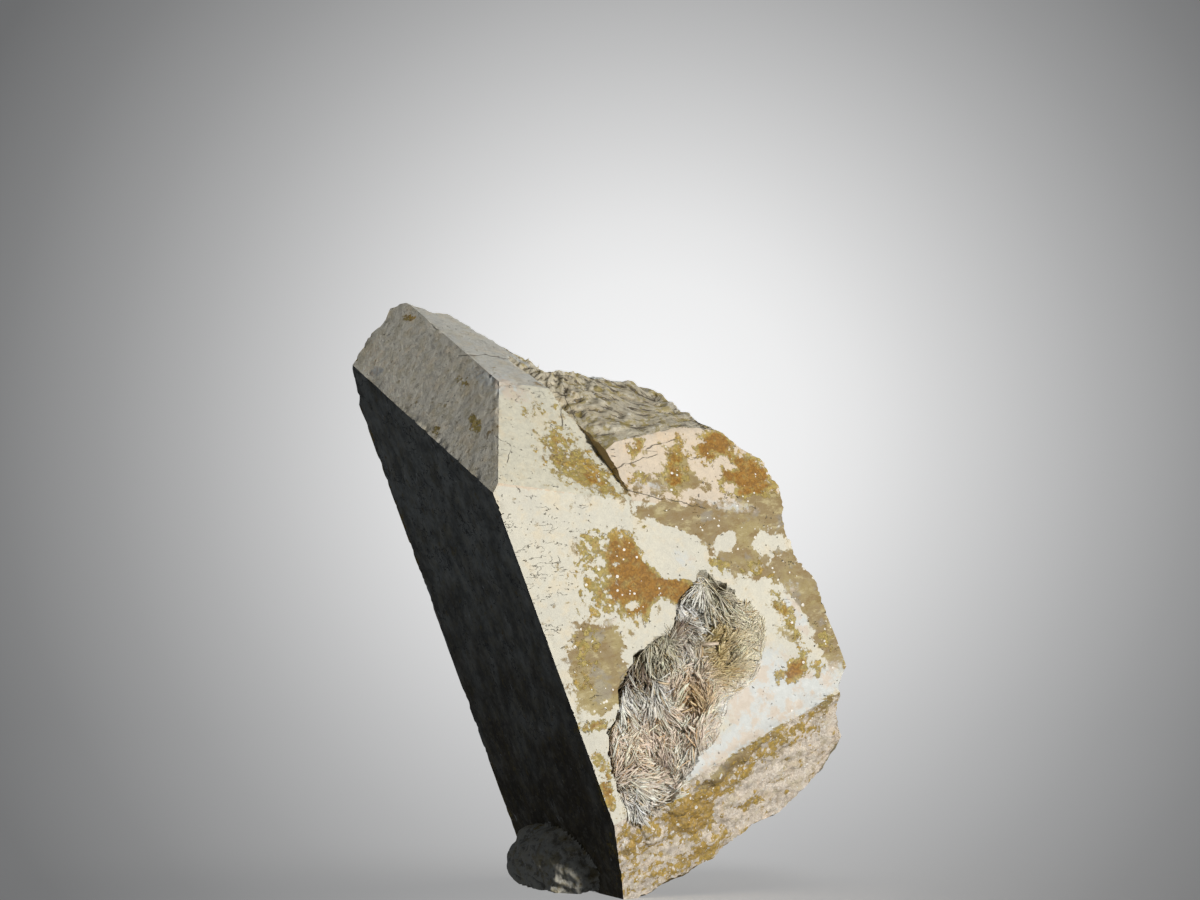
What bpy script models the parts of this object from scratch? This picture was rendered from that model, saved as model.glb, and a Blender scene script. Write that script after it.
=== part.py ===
"""Orthoclase crystal: a leaning, steep prism with a bladed hollow.

The crystal is one solid.  Its flat faces are true orthoclase faces, placed
from the mineral's own lattice, and its right side, top and underside are
broken.  A hollow in the broad front face holds a crust of small blades,
which is the second solid.  Lengths are in millimetres until the last step,
which moves the crystal over the origin and turns them into metres.
"""
import math
import random

import bmesh
import bpy
import numpy as np
from mathutils import Euler, Matrix, Vector, noise

# ---- driving dimensions ------------------------------------------------
LATTICE = (8.56, 12.96, 7.21, 116.0)     # a, b, c in angstrom, beta in deg
ATTITUDE_DEG = (161.49, 69.98, 4.43)     # lattice turned about x, y, z
# crystal faces: Miller index and distance of the face from the datum
FACES = {
    "left": ((0, 0, 1), 16.10),
    "front": ((0, 1, 0), -6.32),
    "upper": ((-1, 3, 0), -8.48),
    "top": ((-1, 1, 0), 1.35),
    "cap": ((-1, 1, 1), 5.92),
    "back": ((0, -1, 0), 48.86),
    "right": ((0, 0, -1), 29.10),
    "shelf": ((0, -1, 0), 46.60),
    "step": ((0, 0, -1), 9.50),
}
# surfaces that follow no index: compass angle, rise and distance
SURFACES = {
    "ledge": (-66.9, 17.2, -7.38),
    "rough": (-75.5, 45.1, -5.41),
    "band": (-53.9, -21.1, 20.68),
    "wall": (-150.6, -22.7, -4.62),
    "crack": (29.4, 22.7, 5.90),
    "foot": (0.0, -90.0, 68.28),
}
OUTLINE = [  # where the front breaks off, as x, z seen from the front
    (-38.2, 7.6), (-39.4, 13.0), (-37.5, 17.2), (-34.0, 21.4),
    (-33.6, 22.6), (-31.5, 23.6), (-30.3, 23.5), (-26.5, 21.7),
    (-24.0, 21.6), (-18.1, 18.0), (-14.6, 15.8), (-8.6, 12.8),
    (-6.2, 12.2), (0.0, 11.3), (6.3, 10.2), (8.6, 9.1), (10.6, 7.8),
    (14.7, 4.6), (18.8, 2.5), (25.2, -1.5), (28.1, -5.6), (28.4, -8.5),
    (28.1, -10.5), (29.5, -13.6), (30.2, -16.7), (32.3, -19.0),
    (35.2, -24.6), (36.8, -29.4), (38.0, -33.5), (36.7, -36.6),
    (36.4, -41.1), (37.3, -44.4), (36.3, -46.6), (34.0, -50.0),
    (30.2, -54.1), (27.9, -55.9), (23.8, -57.9), (17.4, -62.7),
    (13.5, -64.5), (9.0, -66.6), (5.8, -68.4), (4.6, -70.9),
    (2.8, -77.1)]
CLEAR = [(4.0, -88.0), (-48.0, -88.0), (-48.0, -2.0)]  # clear of the left
RIM_HUB = (-1.5, -61.5)      # x, z that the broken side closes in on
RIM_SHRINK = 0.0065          # closing in per millimetre of depth
SIDE_CELL = 3.4              # mesh spacing on the broken side
BREAK = (40.2, 0.0, 6.23)    # the top face is broken beyond this plane
ROUGH_RELIEF = 1.05          # height of the ridges on the rough top
SIDE_RELIEF = 0.85
BAND_RELIEF = 0.35
CORNER = Vector((-16.62, -0.40, -4.88))  # left, front and upper faces meet
HOLLOW = [  # outline on the front face: along its long edge, across it
    (-24.2, -27.7), (-27.0, -22.5), (-30.9, -19.7), (-31.1, -16.8),
    (-32.1, -12.7), (-36.3, -8.6), (-39.9, -6.5), (-41.8, -4.3),
    (-48.7, -2.3), (-51.8, -2.4), (-54.6, -3.3), (-56.4, -6.2),
    (-55.5, -9.9), (-52.2, -14.4), (-47.8, -19.9), (-42.3, -23.4),
    (-40.9, -28.9), (-38.1, -31.3), (-34.2, -33.4), (-28.8, -31.4)]
HOLLOW_MID = (-42.0, -17.0)
HOLLOW_DEPTHS = [(4.0, 0.0), (0.0, 0.0), (-1.7, 0.02), (-3.9, 0.2),
                 (-5.2, 0.5)]
GAP = 0.32                   # clearance between crust and crystal
BLADES = 118
KNOB_MID, KNOB_SIZE = (-7.2, 28.0, -65.0), (7.0, 9.0, 7.0)
GRAINS = 15


# ---- lattice and planes ------------------------------------------------
def face_normal(index):
    """Direction of a lattice face, turned into the crystal's attitude."""
    a, b, c, beta = LATTICE
    beta = math.radians(beta)
    va, vb = Vector((a, 0, 0)), Vector((0, b, 0))
    vc = Vector((c * math.cos(beta), 0, c * math.sin(beta)))
    h, k, l = index
    n = h * vb.cross(vc) + k * vc.cross(va) + l * va.cross(vb)
    turn = Euler([math.radians(d) for d in ATTITUDE_DEG]).to_matrix()
    return (turn @ n).normalized()


def aimed(compass, rise):
    """Unit vector at a compass angle from +X and a rise, in degrees."""
    compass, rise = math.radians(compass), math.radians(rise)
    return Vector((math.cos(rise) * math.cos(compass),
                   math.cos(rise) * math.sin(compass), math.sin(rise)))


PLANES = {k: (face_normal(i), d) for k, (i, d) in FACES.items()}
PLANES.update({k: (aimed(compass, rise), d)
               for k, (compass, rise, d) in SURFACES.items()})
FRONTS = ("left", "front", "ledge", "cap", "top", "band")
HIDDEN = ("back", "right", "foot")
UP = PLANES["left"][0].cross(PLANES["front"][0]).normalized()
if UP.z < 0:
    UP = -UP
ACROSS = PLANES["front"][0].cross(UP)


def on_front(u, v, height=0.0):
    """Point of the front face at u along its edge, v across, raised."""
    return CORNER + UP * u + ACROSS * v + PLANES["front"][0] * height


# ---- solids ------------------------------------------------------------
def collection(name):
    found = bpy.data.collections.new(name)
    bpy.context.scene.collection.children.link(found)
    return found


def face_outward(bm):
    bmesh.ops.recalc_face_normals(bm, faces=bm.faces)
    if bm.calc_volume(signed=True) < 0:
        bmesh.ops.reverse_faces(bm, faces=bm.faces)


def add_object(name, bm, home):
    face_outward(bm)
    mesh = bpy.data.meshes.new(name)
    bm.to_mesh(mesh)
    bm.free()
    obj = bpy.data.objects.new(name, mesh)
    home.objects.link(obj)
    return obj


def plane_solid(name, planes, home, size=140.0):
    """Convex solid inside every plane, cut out of a block."""
    bm = bmesh.new()
    bmesh.ops.create_cube(bm, size=size * 2)
    for normal, distance in planes:
        cut = bmesh.ops.bisect_plane(
            bm, geom=bm.verts[:] + bm.edges[:] + bm.faces[:],
            plane_co=normal * distance, plane_no=normal, clear_outer=True)
        edges = [e for e in cut["geom_cut"]
                 if isinstance(e, bmesh.types.BMEdge)]
        if edges:
            bmesh.ops.contextual_create(bm, geom=edges)
    return add_object(name, bm, home)


def ring_solid(name, rings, home):
    """Closed solid through rings of points, with a cap at each end."""
    bm = bmesh.new()
    rows = [[bm.verts.new(p) for p in ring] for ring in rings]
    count = len(rows[0])
    for low, high in zip(rows, rows[1:]):
        for i in range(count):
            j = (i + 1) % count
            bm.faces.new((low[i], low[j], high[j], high[i]))
    bm.faces.new(rows[0][::-1])
    bm.faces.new(rows[-1])
    bmesh.ops.triangulate(bm, faces=bm.faces[:])
    return add_object(name, bm, home)


def combine(target, cutter, operation, touching=False):
    """Apply a Boolean with the exact solver."""
    mod = target.modifiers.new(operation.title(), "BOOLEAN")
    mod.operation = operation
    mod.solver = "EXACT"
    mod.use_self = touching
    mod.object = cutter
    bpy.context.view_layer.update()
    graph = bpy.context.evaluated_depsgraph_get()
    mesh = bpy.data.meshes.new_from_object(target.evaluated_get(graph))
    target.modifiers.clear()
    target.data = mesh
    mesh.name = target.name


def cut_outside(target, names, cutters):
    """Remove what lies outside all of the named planes."""
    planes = [(-PLANES[n][0], -PLANES[n][1]) for n in names]
    cutter = plane_solid("_".join(names) + "_cutter", planes, cutters)
    combine(target, cutter, "DIFFERENCE")


def front_depth(x, z):
    """Depth at which a line from the front first meets the crystal."""
    return max((distance - normal.x * x - normal.z * z) / normal.y
               for normal, distance in (PLANES[k] for k in FRONTS))


def side_rings():
    """Outline of the broken side, closing in as it goes back."""
    outline = [(x, front_depth(x, z), z) for x, z in OUTLINE]
    outline += [(x, 30.0, z) for x, z in CLEAR]
    rings = [[(x, -10.0, z) for x, _, z in outline]]
    hub = Vector((RIM_HUB[0], 0, RIM_HUB[1]))
    for part in (0.0, 0.12, 0.3, 0.55, 1.0):
        ring = []
        for x, y, z in outline:
            deep = (66.0 - y) * part
            scale = 1.0 - RIM_SHRINK * deep
            flat = hub + (Vector((x, 0, z)) - hub) * scale
            ring.append((flat.x, y + deep, flat.z))
        rings.append(ring)
    return rings


def lies_on(point, name, reach=0.03):
    normal, distance = PLANES[name]
    return abs(normal.dot(point) - distance) < reach


def past_break(point):
    """How far a point is beyond the line where the top face breaks off."""
    return aimed(*BREAK[:2]).dot(point) - BREAK[2]


def surface_of(face):
    """Name of the plane that a face lies on, or side for broken rock."""
    for name, (normal, _) in PLANES.items():
        if face.normal.dot(normal) > 0.999:
            if all(lies_on(v.co, name) for v in face.verts):
                middle = face.calc_center_median()
                broken = name == "top" and past_break(middle) > 0
                return "rough" if broken else name
    return "side"


FLAT = ("left", "front", "upper", "top", "cap", "back", "right", "ledge",
        "wall", "foot", "step", "shelf", "crack")


def slice_faces(bm, names, direction, spacing):
    """Cut the named faces along evenly spaced planes."""
    direction = Vector(direction).normalized()
    reach = [direction.dot(v.co) for v in bm.verts]
    for at in np.arange(min(reach) + spacing * 0.37, max(reach), spacing):
        faces = [f for f in bm.faces if surface_of(f) in names]
        geom = set(faces)
        for f in faces:
            geom.update(f.verts)
            geom.update(f.edges)
        bmesh.ops.bisect_plane(bm, geom=list(geom), dist=0.05,
                               plane_co=direction * at, plane_no=direction)


def ridge_height(p):
    """Broken ridges that climb to the right on the rough top."""
    across = p.x * -0.42 + p.y * 0.12 + p.z * 0.9
    wander = noise.noise(p * 0.09) * 2.4
    saw = ((across + wander) / 2.8) % 1.0
    return (saw - 0.5) * 1.5 + noise.noise(p * 0.35) * 0.8


def relief(p, name):
    if name == "rough":
        return ROUGH_RELIEF * ridge_height(p)
    if name == "band":
        return BAND_RELIEF * noise.noise(p * 0.5) * 2.0
    if name == "side":
        big = noise.noise(p * 0.11) + 0.6 * noise.noise(p * 0.27)
        return SIDE_RELIEF * big * 1.6
    return 0.0


def break_surface(obj):
    """Give the broken faces their relief; the flat faces stay flat."""
    bm = bmesh.new()
    bm.from_mesh(obj.data)
    bmesh.ops.remove_doubles(bm, verts=bm.verts, dist=0.02)
    for axis in ((1, 0, 0), (0, 1, 0), (0, 0, 1)):
        slice_faces(bm, ("side", "band"), axis, SIDE_CELL)
    bmesh.ops.bisect_plane(bm, geom=bm.verts[:] + bm.edges[:] + bm.faces[:],
                           plane_co=aimed(*BREAK[:2]) * BREAK[2],
                           plane_no=aimed(*BREAK[:2]))
    slice_faces(bm, ("rough",), (1, 0, 0.2), 2.6)
    slice_faces(bm, ("rough",), (-0.42, 0.12, 0.9), 1.15)
    bm.normal_update()
    moves = {}
    for face in bm.faces:
        name = surface_of(face)
        if name in FLAT:
            continue
        for v in face.verts:
            moves.setdefault(v, []).append((name, face.normal.copy()))
    shifts = {}
    for v, found in moves.items():
        names = {n for n, _ in found}
        push = sum((normal for _, normal in found), Vector()).normalized()
        height = min((relief(v.co, n) for n in names), key=abs)
        held = [PLANES[n][0] for n in FLAT if lies_on(v.co, n)
                and not (n == "top" and past_break(v.co) > 0.1)]
        shift = push * height
        if held:
            shift *= 0.6
        if len(held) == 2:
            line = held[0].cross(held[1])
            if line.length > 0.05:
                line.normalize()
                shift = line * shift.dot(line)
            else:
                shift = Vector()
        elif len(held) == 1:
            shift = shift - held[0] * shift.dot(held[0])
        elif len(held) > 2:
            shift = Vector()
        shifts[v] = shift
    for v, shift in shifts.items():
        v.co += shift
    bmesh.ops.triangulate(bm, faces=bm.faces[:])
    bmesh.ops.remove_doubles(bm, verts=bm.verts, dist=0.02)
    face_outward(bm)
    bm.to_mesh(obj.data)
    bm.free()


# ---- hollow and its crust ----------------------------------------------
def softness(u, v):
    """How gently the hollow runs out: 1 on its right side, 0 elsewhere."""
    right = min(1.0, max(0.0, (-v - 14.0) / 9.0))
    low = min(1.0, max(0.0, (-u - 31.0) / 8.0))
    return right * low


def hollow_rings(inset=0.0, depths=None):
    """Rings of the hollow, or of a body that keeps clear inside it."""
    mid_u, mid_v = HOLLOW_MID
    rings = []
    for depth, close in depths or HOLLOW_DEPTHS:
        ring = []
        for i, (u, v) in enumerate(HOLLOW):
            du, dv = u - mid_u, v - mid_v
            reach = math.hypot(du, dv)
            soft = softness(u, v)
            factor = 1.0 - close * (1.0 + 0.5 * soft)
            if depth < 0:
                factor -= 0.07 * soft
                factor += 0.035 * noise.noise((u * 0.3, v * 0.3, depth))
            factor -= inset / reach
            ring.append(on_front(mid_u + du * factor, mid_v + dv * factor,
                                 depth))
        rings.append(ring)
    return rings


def crust_space():
    """Space that the crust may fill, a clear gap inside the hollow."""
    depths = [(3.0, 0.0), (0.0, 0.0), (-1.7 + GAP, 0.02),
              (-3.9 + GAP, 0.2), (-5.2 + GAP, 0.5)]
    return hollow_rings(GAP * 1.25, depths)


def crust_bed():
    depths = [(-2.0, 0.02), (-3.0, 0.1), (-4.7, 0.34)]
    return hollow_rings(GAP * 0.5, depths)


def add_blade(bm, foot, along, flat, length, width, thick):
    """Flat crystal with a chisel tip."""
    side = along.cross(flat).normalized()
    flat = side.cross(along).normalized()
    ring = []
    for at, scale in ((0.0, 0.8), (0.72, 1.0), (1.0, 0.45)):
        for i, j in ((-1, -1), (1, -1), (1, 1), (-1, 1)):
            ring.append(bm.verts.new(
                foot + along * length * at + side * i * width * scale / 2
                + flat * j * thick / 2 * (1.0 if at < 1 else 0.5)))
    for k in (0, 4):
        for i in range(4):
            j = (i + 1) % 4
            bm.faces.new((ring[k + i], ring[k + j],
                          ring[k + 4 + j], ring[k + 4 + i]))
    bm.faces.new(ring[3::-1])
    bm.faces.new(ring[8:12])


def blade_cluster(home):
    """Blades in fans, each fan swept round its own centre."""
    rng = random.Random(11)
    bm = bmesh.new()
    normal = PLANES["front"][0]
    fans = [(-30.0, -27.0, 0.3), (-34.0, -20.5, 1.6), (-33.0, -30.0, 2.6),
            (-37.0, -13.0, 0.9), (-38.5, -25.0, 4.4), (-42.0, -9.0, 5.3),
            (-43.0, -16.0, 2.2), (-47.5, -8.0, 3.4), (-46.5, -15.5, 0.2),
            (-51.5, -6.5, 1.2), (-51.0, -12.0, 5.0), (-54.0, -6.0, 2.8)]
    for n in range(BLADES):
        u, v, start = fans[n % len(fans)]
        turn = start + rng.uniform(-0.75, 0.75) + 0.4 * (n // len(fans) % 3)
        lift = rng.uniform(0.12, 0.62)
        away = UP * math.cos(turn) + ACROSS * math.sin(turn)
        along = (away * math.cos(lift) + normal * math.sin(lift))
        step = rng.uniform(-2.2, 2.2)
        slip = rng.uniform(-2.2, 2.2)
        foot = on_front(u + step, v + slip, -3.3 + rng.uniform(-0.3, 0.3))
        tilt = normal * rng.uniform(0.4, 1.0) + away.cross(normal) * \
            rng.uniform(-0.9, 0.9)
        add_blade(bm, foot, along.normalized(), tilt,
                  rng.uniform(3.0, 5.6), rng.uniform(0.9, 1.7),
                  rng.uniform(0.35, 0.6))
    return add_object("blades", bm, home)


# ---- lumps on the crystal ----------------------------------------------
def lump(name, middle, size, detail, rough, seed, home):
    """Irregular fused lump."""
    bm = bmesh.new()
    bmesh.ops.create_icosphere(bm, subdivisions=detail, radius=1.0)
    for v in bm.verts:
        wave = noise.noise(v.co * 1.3 + Vector((seed, 0, 0)))
        fine = noise.noise(v.co * 3.1 + Vector((0, seed, 0)))
        v.co *= 1.0 + rough * (wave + 0.6 * fine)
        v.co = Vector(c * s for c, s in zip(v.co, size)) + Vector(middle)
    return add_object(name, bm, home)


def grain_spots():
    """Places and sizes of the grains on the low band, largest first."""
    rng = random.Random(5)
    normal, distance = PLANES["band"]
    spots = [((11.8, -53.3), 2.3), ((17.5, -49.8), 1.5), ((8.0, -58.5), 1.5)]
    while len(spots) < GRAINS:
        t, s = rng.uniform(0, 1), rng.uniform(-0.8, 0.8)
        x = 6.5 + 26.0 * t
        z = -59.5 + 18.5 * t + 5.0 * s
        if all(math.hypot(x - a, z - b) > 2.6 for (a, b), _ in spots):
            spots.append(((x, z), rng.uniform(0.9, 1.6)))
    for (x, z), r in spots:
        y = (distance - normal.x * x - normal.z * z) / normal.y
        yield Vector((x, y, z)) - normal * r * 0.35, r


# ---- the object --------------------------------------------------------
def material(name, colour, roughness):
    mat = bpy.data.materials.new(name)
    mat.use_nodes = True
    bsdf = mat.node_tree.nodes["Principled BSDF"]
    bsdf.inputs["Base Color"].default_value = (*colour, 1.0)
    bsdf.inputs["Roughness"].default_value = roughness
    bsdf.inputs["Metallic"].default_value = 0.0
    return mat


def build_crystal(home, cutters):
    """The one solid: prism, ledge, broken side, hollow, lumps, grains."""
    outer = [PLANES[k] for k in FRONTS + HIDDEN]
    crystal = plane_solid("orthoclase_crystal", outer, home)
    side = ring_solid("side_cutter", side_rings(), cutters)
    combine(crystal, side, "INTERSECT")
    cut_outside(crystal, ("upper", "wall"), cutters)
    cut_outside(crystal, ("rough", "crack"), cutters)
    cut_outside(crystal, ("shelf", "step"), cutters)
    break_surface(crystal)
    knob = lump("knob", KNOB_MID, KNOB_SIZE, 3, 0.22, 3.7, cutters)
    combine(crystal, knob, "UNION")
    for n, (place, r) in enumerate(grain_spots()):
        grain = lump("grain_%02d" % n, place, (r, r, r * 0.8),
                     2 if r > 1.4 else 1, 0.2, n * 1.9, cutters)
        combine(crystal, grain, "UNION")
    cut_outside(crystal, ("foot",), cutters)
    hollow = ring_solid("hollow_cutter", hollow_rings(), cutters)
    combine(crystal, hollow, "DIFFERENCE")
    return crystal


def build_crust(home, cutters):
    """Bed and blades fused, kept clear of the hollow's walls."""
    crust = ring_solid("blade_crust", crust_bed(), home)
    combine(crust, blade_cluster(cutters), "UNION", touching=True)
    combine(crust, ring_solid("crust_space", crust_space(), cutters),
            "INTERSECT")
    return crust


def drop_crumbs(bm):
    """Keep only the largest connected piece."""
    left = set(bm.verts)
    pieces = []
    while left:
        piece, front = set(), [left.pop()]
        while front:
            v = front.pop()
            piece.add(v)
            for edge in v.link_edges:
                other = edge.other_vert(v)
                if other in left:
                    left.remove(other)
                    front.append(other)
        pieces.append(piece)
    pieces.sort(key=len)
    crumbs = [v for piece in pieces[:-1] for v in piece]
    bmesh.ops.delete(bm, geom=crumbs, context="VERTS")


def finish(obj, mat, shift):
    """Clean the mesh, move it over the origin and turn it into metres."""
    bm = bmesh.new()
    bm.from_mesh(obj.data)
    drop_crumbs(bm)
    bmesh.ops.transform(bm, matrix=Matrix.Translation(shift),
                        verts=bm.verts)
    bmesh.ops.scale(bm, vec=(0.001, 0.001, 0.001), verts=bm.verts)
    bmesh.ops.remove_doubles(bm, verts=bm.verts, dist=0.000002)
    bmesh.ops.dissolve_degenerate(bm, edges=bm.edges, dist=0.000002)
    bmesh.ops.triangulate(bm, faces=bm.faces[:])
    face_outward(bm)
    bm.to_mesh(obj.data)
    bm.free()
    obj.data.materials.clear()
    obj.data.materials.append(mat)


def main():
    for obj in list(bpy.data.objects):
        bpy.data.objects.remove(obj, do_unlink=True)
    home = collection("orthoclase_specimen")
    cutters = collection("cutters")
    crystal = build_crystal(home, cutters)
    crust = build_crust(home, cutters)
    for obj in cutters.objects:
        obj.hide_render = True
        obj.display_type = "WIRE"
    points = np.array([v.co for v in crystal.data.vertices])
    low, high = points.min(axis=0), points.max(axis=0)
    shift = Vector((-(low[0] + high[0]) / 2, -(low[1] + high[1]) / 2,
                    -low[2]))
    finish(crystal, material("cream feldspar", (0.78, 0.71, 0.58), 0.5),
           shift)
    finish(crust, material("grey blades", (0.62, 0.57, 0.5), 0.4), shift)
    print("shift", [round(c, 3) for c in shift])
    for obj in (crystal, crust):
        print(obj.name, len(obj.data.polygons), "triangles")


main()
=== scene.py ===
"""Looks of a leaning orthoclase crystal whose hollow is lined with blades.

Lengths are millimetres from the crystal's own datum, the corner region where
its lattice faces are measured from.  A finished mesh is moved over the origin
and turned into metres.
"""
from __future__ import annotations

import logging
import math
from collections.abc import Callable
from dataclasses import dataclass, field, fields
from enum import Enum, IntEnum

import bpy
import numpy as np
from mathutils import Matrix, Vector

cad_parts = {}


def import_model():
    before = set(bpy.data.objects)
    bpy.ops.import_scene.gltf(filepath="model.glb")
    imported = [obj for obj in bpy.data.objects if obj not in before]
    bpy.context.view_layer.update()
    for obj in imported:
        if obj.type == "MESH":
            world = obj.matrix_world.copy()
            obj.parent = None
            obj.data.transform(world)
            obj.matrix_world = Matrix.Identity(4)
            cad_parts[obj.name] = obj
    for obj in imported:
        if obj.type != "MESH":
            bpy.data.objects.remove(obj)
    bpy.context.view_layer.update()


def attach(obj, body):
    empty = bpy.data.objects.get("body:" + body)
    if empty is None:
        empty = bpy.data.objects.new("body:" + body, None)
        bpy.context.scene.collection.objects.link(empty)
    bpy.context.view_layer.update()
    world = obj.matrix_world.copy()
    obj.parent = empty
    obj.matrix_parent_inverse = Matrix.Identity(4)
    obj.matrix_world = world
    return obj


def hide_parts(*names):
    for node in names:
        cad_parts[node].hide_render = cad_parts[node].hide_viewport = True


LOG = logging.getLogger("orthoclase")
MM = 0.001
DATUM = np.array([0.777, -27.691, 68.28])   # datum to the foot's centre
EYE_DISTANCE = 600.0                        # camera in front of the datum
FAR = 200.0                                 # longer than any way through it
ON_SHEET = 0.05                             # how near counts as on a sheet
Array = np.ndarray
Triple = tuple[float, float, float]


# ---------------------------------------------------------------- noise
@dataclass(frozen=True)
class Texture:
    """Repeatable solid noise, the same on every run.

    Attributes:
        seed: Picks one pattern out of many.
    """

    seed: int = 0

    def scramble(self, i: Array, j: Array, k: Array) -> Array:
        """Mix three whole numbers into one that looks random, 0 to 1."""
        mixed = (i * 374761393 + j * 668265263 + k * 974634777
                 + self.seed * 1274126177) & 0xFFFFFFFF
        mixed = ((mixed ^ (mixed >> 13)) * 1274126177) & 0xFFFFFFFF
        mixed = ((mixed ^ (mixed >> 15)) * 2246822519) & 0xFFFFFFFF
        return (mixed ^ (mixed >> 16)) / 0xFFFFFFFF

    def smooth(self, points: Array) -> Array:
        """Value noise: eight corner values blended by a quintic fade.

        Args:
            points: Places, n by 3, one lattice cell to the unit.

        Returns:
            n values from -1 to 1.
        """
        cell = np.floor(points).astype(np.int64)
        part = points - cell
        fade = part ** 3 * (part * (part * 6 - 15) + 10)
        total = np.zeros(len(points))
        for corner in np.ndindex(2, 2, 2):
            i, j, k = (cell + corner).T
            weight = np.where(corner, fade, 1 - fade).prod(axis=1)
            total += weight * (self.scramble(i, j, k) * 2 - 1)
        return total

    def layered(self, points: Array, octaves: int = 4) -> Array:
        """Sum of smooth noise, each layer half as tall and twice as fine."""
        total, height, scale = np.zeros(len(points)), 0.5, 1.0
        for _ in range(octaves):
            total += height * self.smooth(points * scale)
            height, scale = height / 2, scale * 2.07
        return total

    def cells(self, points: Array) -> tuple[Array, Array]:
        """Distance to the nearest of one scattered seed per cell.

        Returns:
            The distance, and the nearest seed's own random value.
        """
        cell = np.floor(points).astype(np.int64)
        best = np.full(len(points), 9.0)
        owner = np.zeros(len(points))
        for step in np.ndindex(3, 3, 3):
            i, j, k = (cell + step - 1).T
            spot = np.stack([self.scramble(i, j, k),
                             self.scramble(i + 57, j, k),
                             self.scramble(i, j + 91, k)], axis=1)
            spot = spot + cell + step - 1
            far = np.linalg.norm(points - spot, axis=1)
            near = far < best
            owner = np.where(near, self.scramble(i, j, k + 33), owner)
            best = np.where(near, far, best)
        return best, owner


def on_plane(u: Array, v: Array) -> Array:
    """Places of a flat sheet in a texture's space, n by 3."""
    return np.stack([u, v, u * 0], axis=1)


def ease(low: float, high: float, value: Array) -> Array:
    """Smooth step from 0 at low to 1 at high: 3t^2 - 2t^3."""
    t = np.clip((value - low) / (high - low), 0, 1)
    return t * t * (3 - 2 * t)


def polar(loop: Array, hub: tuple[float, float], steps: int
          ) -> tuple[Array, Array, Array]:
    """Walk round a closed outline.

    Args:
        loop: Its corners, n by 2.
        hub: Place inside it that angles are measured round.
        steps: Steps from each corner to the next.

    Returns:
        Places, their angles and their distances from the hub, all by
        rising angle.
    """
    after = np.roll(loop, -1, axis=0)
    share = np.linspace(0, 1, steps, endpoint=False)[:, None, None]
    places = (loop + (after - loop) * share).transpose(1, 0, 2)
    places = places.reshape(-1, 2)
    away = places - hub
    angle = np.arctan2(away[:, 1], away[:, 0])
    order = np.argsort(angle)
    return places[order], angle[order], np.linalg.norm(away, axis=1)[order]


# ---------------------------------------------------------------- shape
@dataclass(frozen=True)
class Lattice:
    """Cell of the mineral and the way that it lies.

    Attributes:
        sides: Cell edges a, b and c, in angstrom.
        beta: Angle between a and c, in degrees.
        turned: Turns about x, y and z, in degrees.
    """

    sides: Triple = (8.56, 12.96, 7.21)
    beta: float = 116.0
    turned: Triple = (161.49, 69.98, 4.43)

    def attitude(self) -> Array:
        """Rotation matrix of the turns, x first and z last."""
        x, y, z = (math.radians(d) for d in self.turned)
        about_x = np.array([[1, 0, 0], [0, math.cos(x), -math.sin(x)],
                            [0, math.sin(x), math.cos(x)]])
        about_y = np.array([[math.cos(y), 0, math.sin(y)], [0, 1, 0],
                            [-math.sin(y), 0, math.cos(y)]])
        about_z = np.array([[math.cos(z), -math.sin(z), 0],
                            [math.sin(z), math.cos(z), 0], [0, 0, 1]])
        return about_z @ about_y @ about_x

    def normal(self, index: tuple[int, int, int]) -> Array:
        """Outward direction of the face with a Miller index.

        Formula: h (b x c) + k (c x a) + l (a x b), made a unit vector.
        """
        angle = math.radians(self.beta)
        a = np.array([self.sides[0], 0, 0])
        b = np.array([0, self.sides[1], 0])
        c = self.sides[2] * np.array([math.cos(angle), 0, math.sin(angle)])
        h, k, l = index
        way = h * np.cross(b, c) + k * np.cross(c, a) + l * np.cross(a, b)
        way = self.attitude() @ way
        return way / np.linalg.norm(way)


def aimed(compass: float, rise: float) -> Array:
    """Unit vector at a compass angle from +X and a rise, in degrees."""
    c, r = math.radians(compass), math.radians(rise)
    return np.array([math.cos(r) * math.cos(c), math.cos(r) * math.sin(c),
                     math.sin(r)])


class Zone(IntEnum):
    """Surfaces of the crystal, in the order of their sheets."""

    LEFT = 0
    FRONT = 1
    UPPER = 2
    TOP = 3
    CAP = 4
    BACK = 5
    RIGHT = 6
    SHELF = 7
    STEP = 8
    LEDGE = 9
    BAND = 10
    WALL = 11
    FOOT = 12
    CRACK = 13
    ROUGH = 14
    TIP = 15
    SIDE = 16
    KNOB = 17


OUTER = (Zone.LEFT, Zone.FRONT, Zone.TOP, Zone.CAP, Zone.BACK, Zone.RIGHT,
         Zone.LEDGE, Zone.BAND)             # cut by no notch
NOTCHES = ((Zone.UPPER, Zone.WALL), (Zone.ROUGH, Zone.CRACK),
           (Zone.SHELF, Zone.STEP))         # the lesser of each pair counts
BARRED = 50.0                               # keeps a sheet from being nearest


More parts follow.
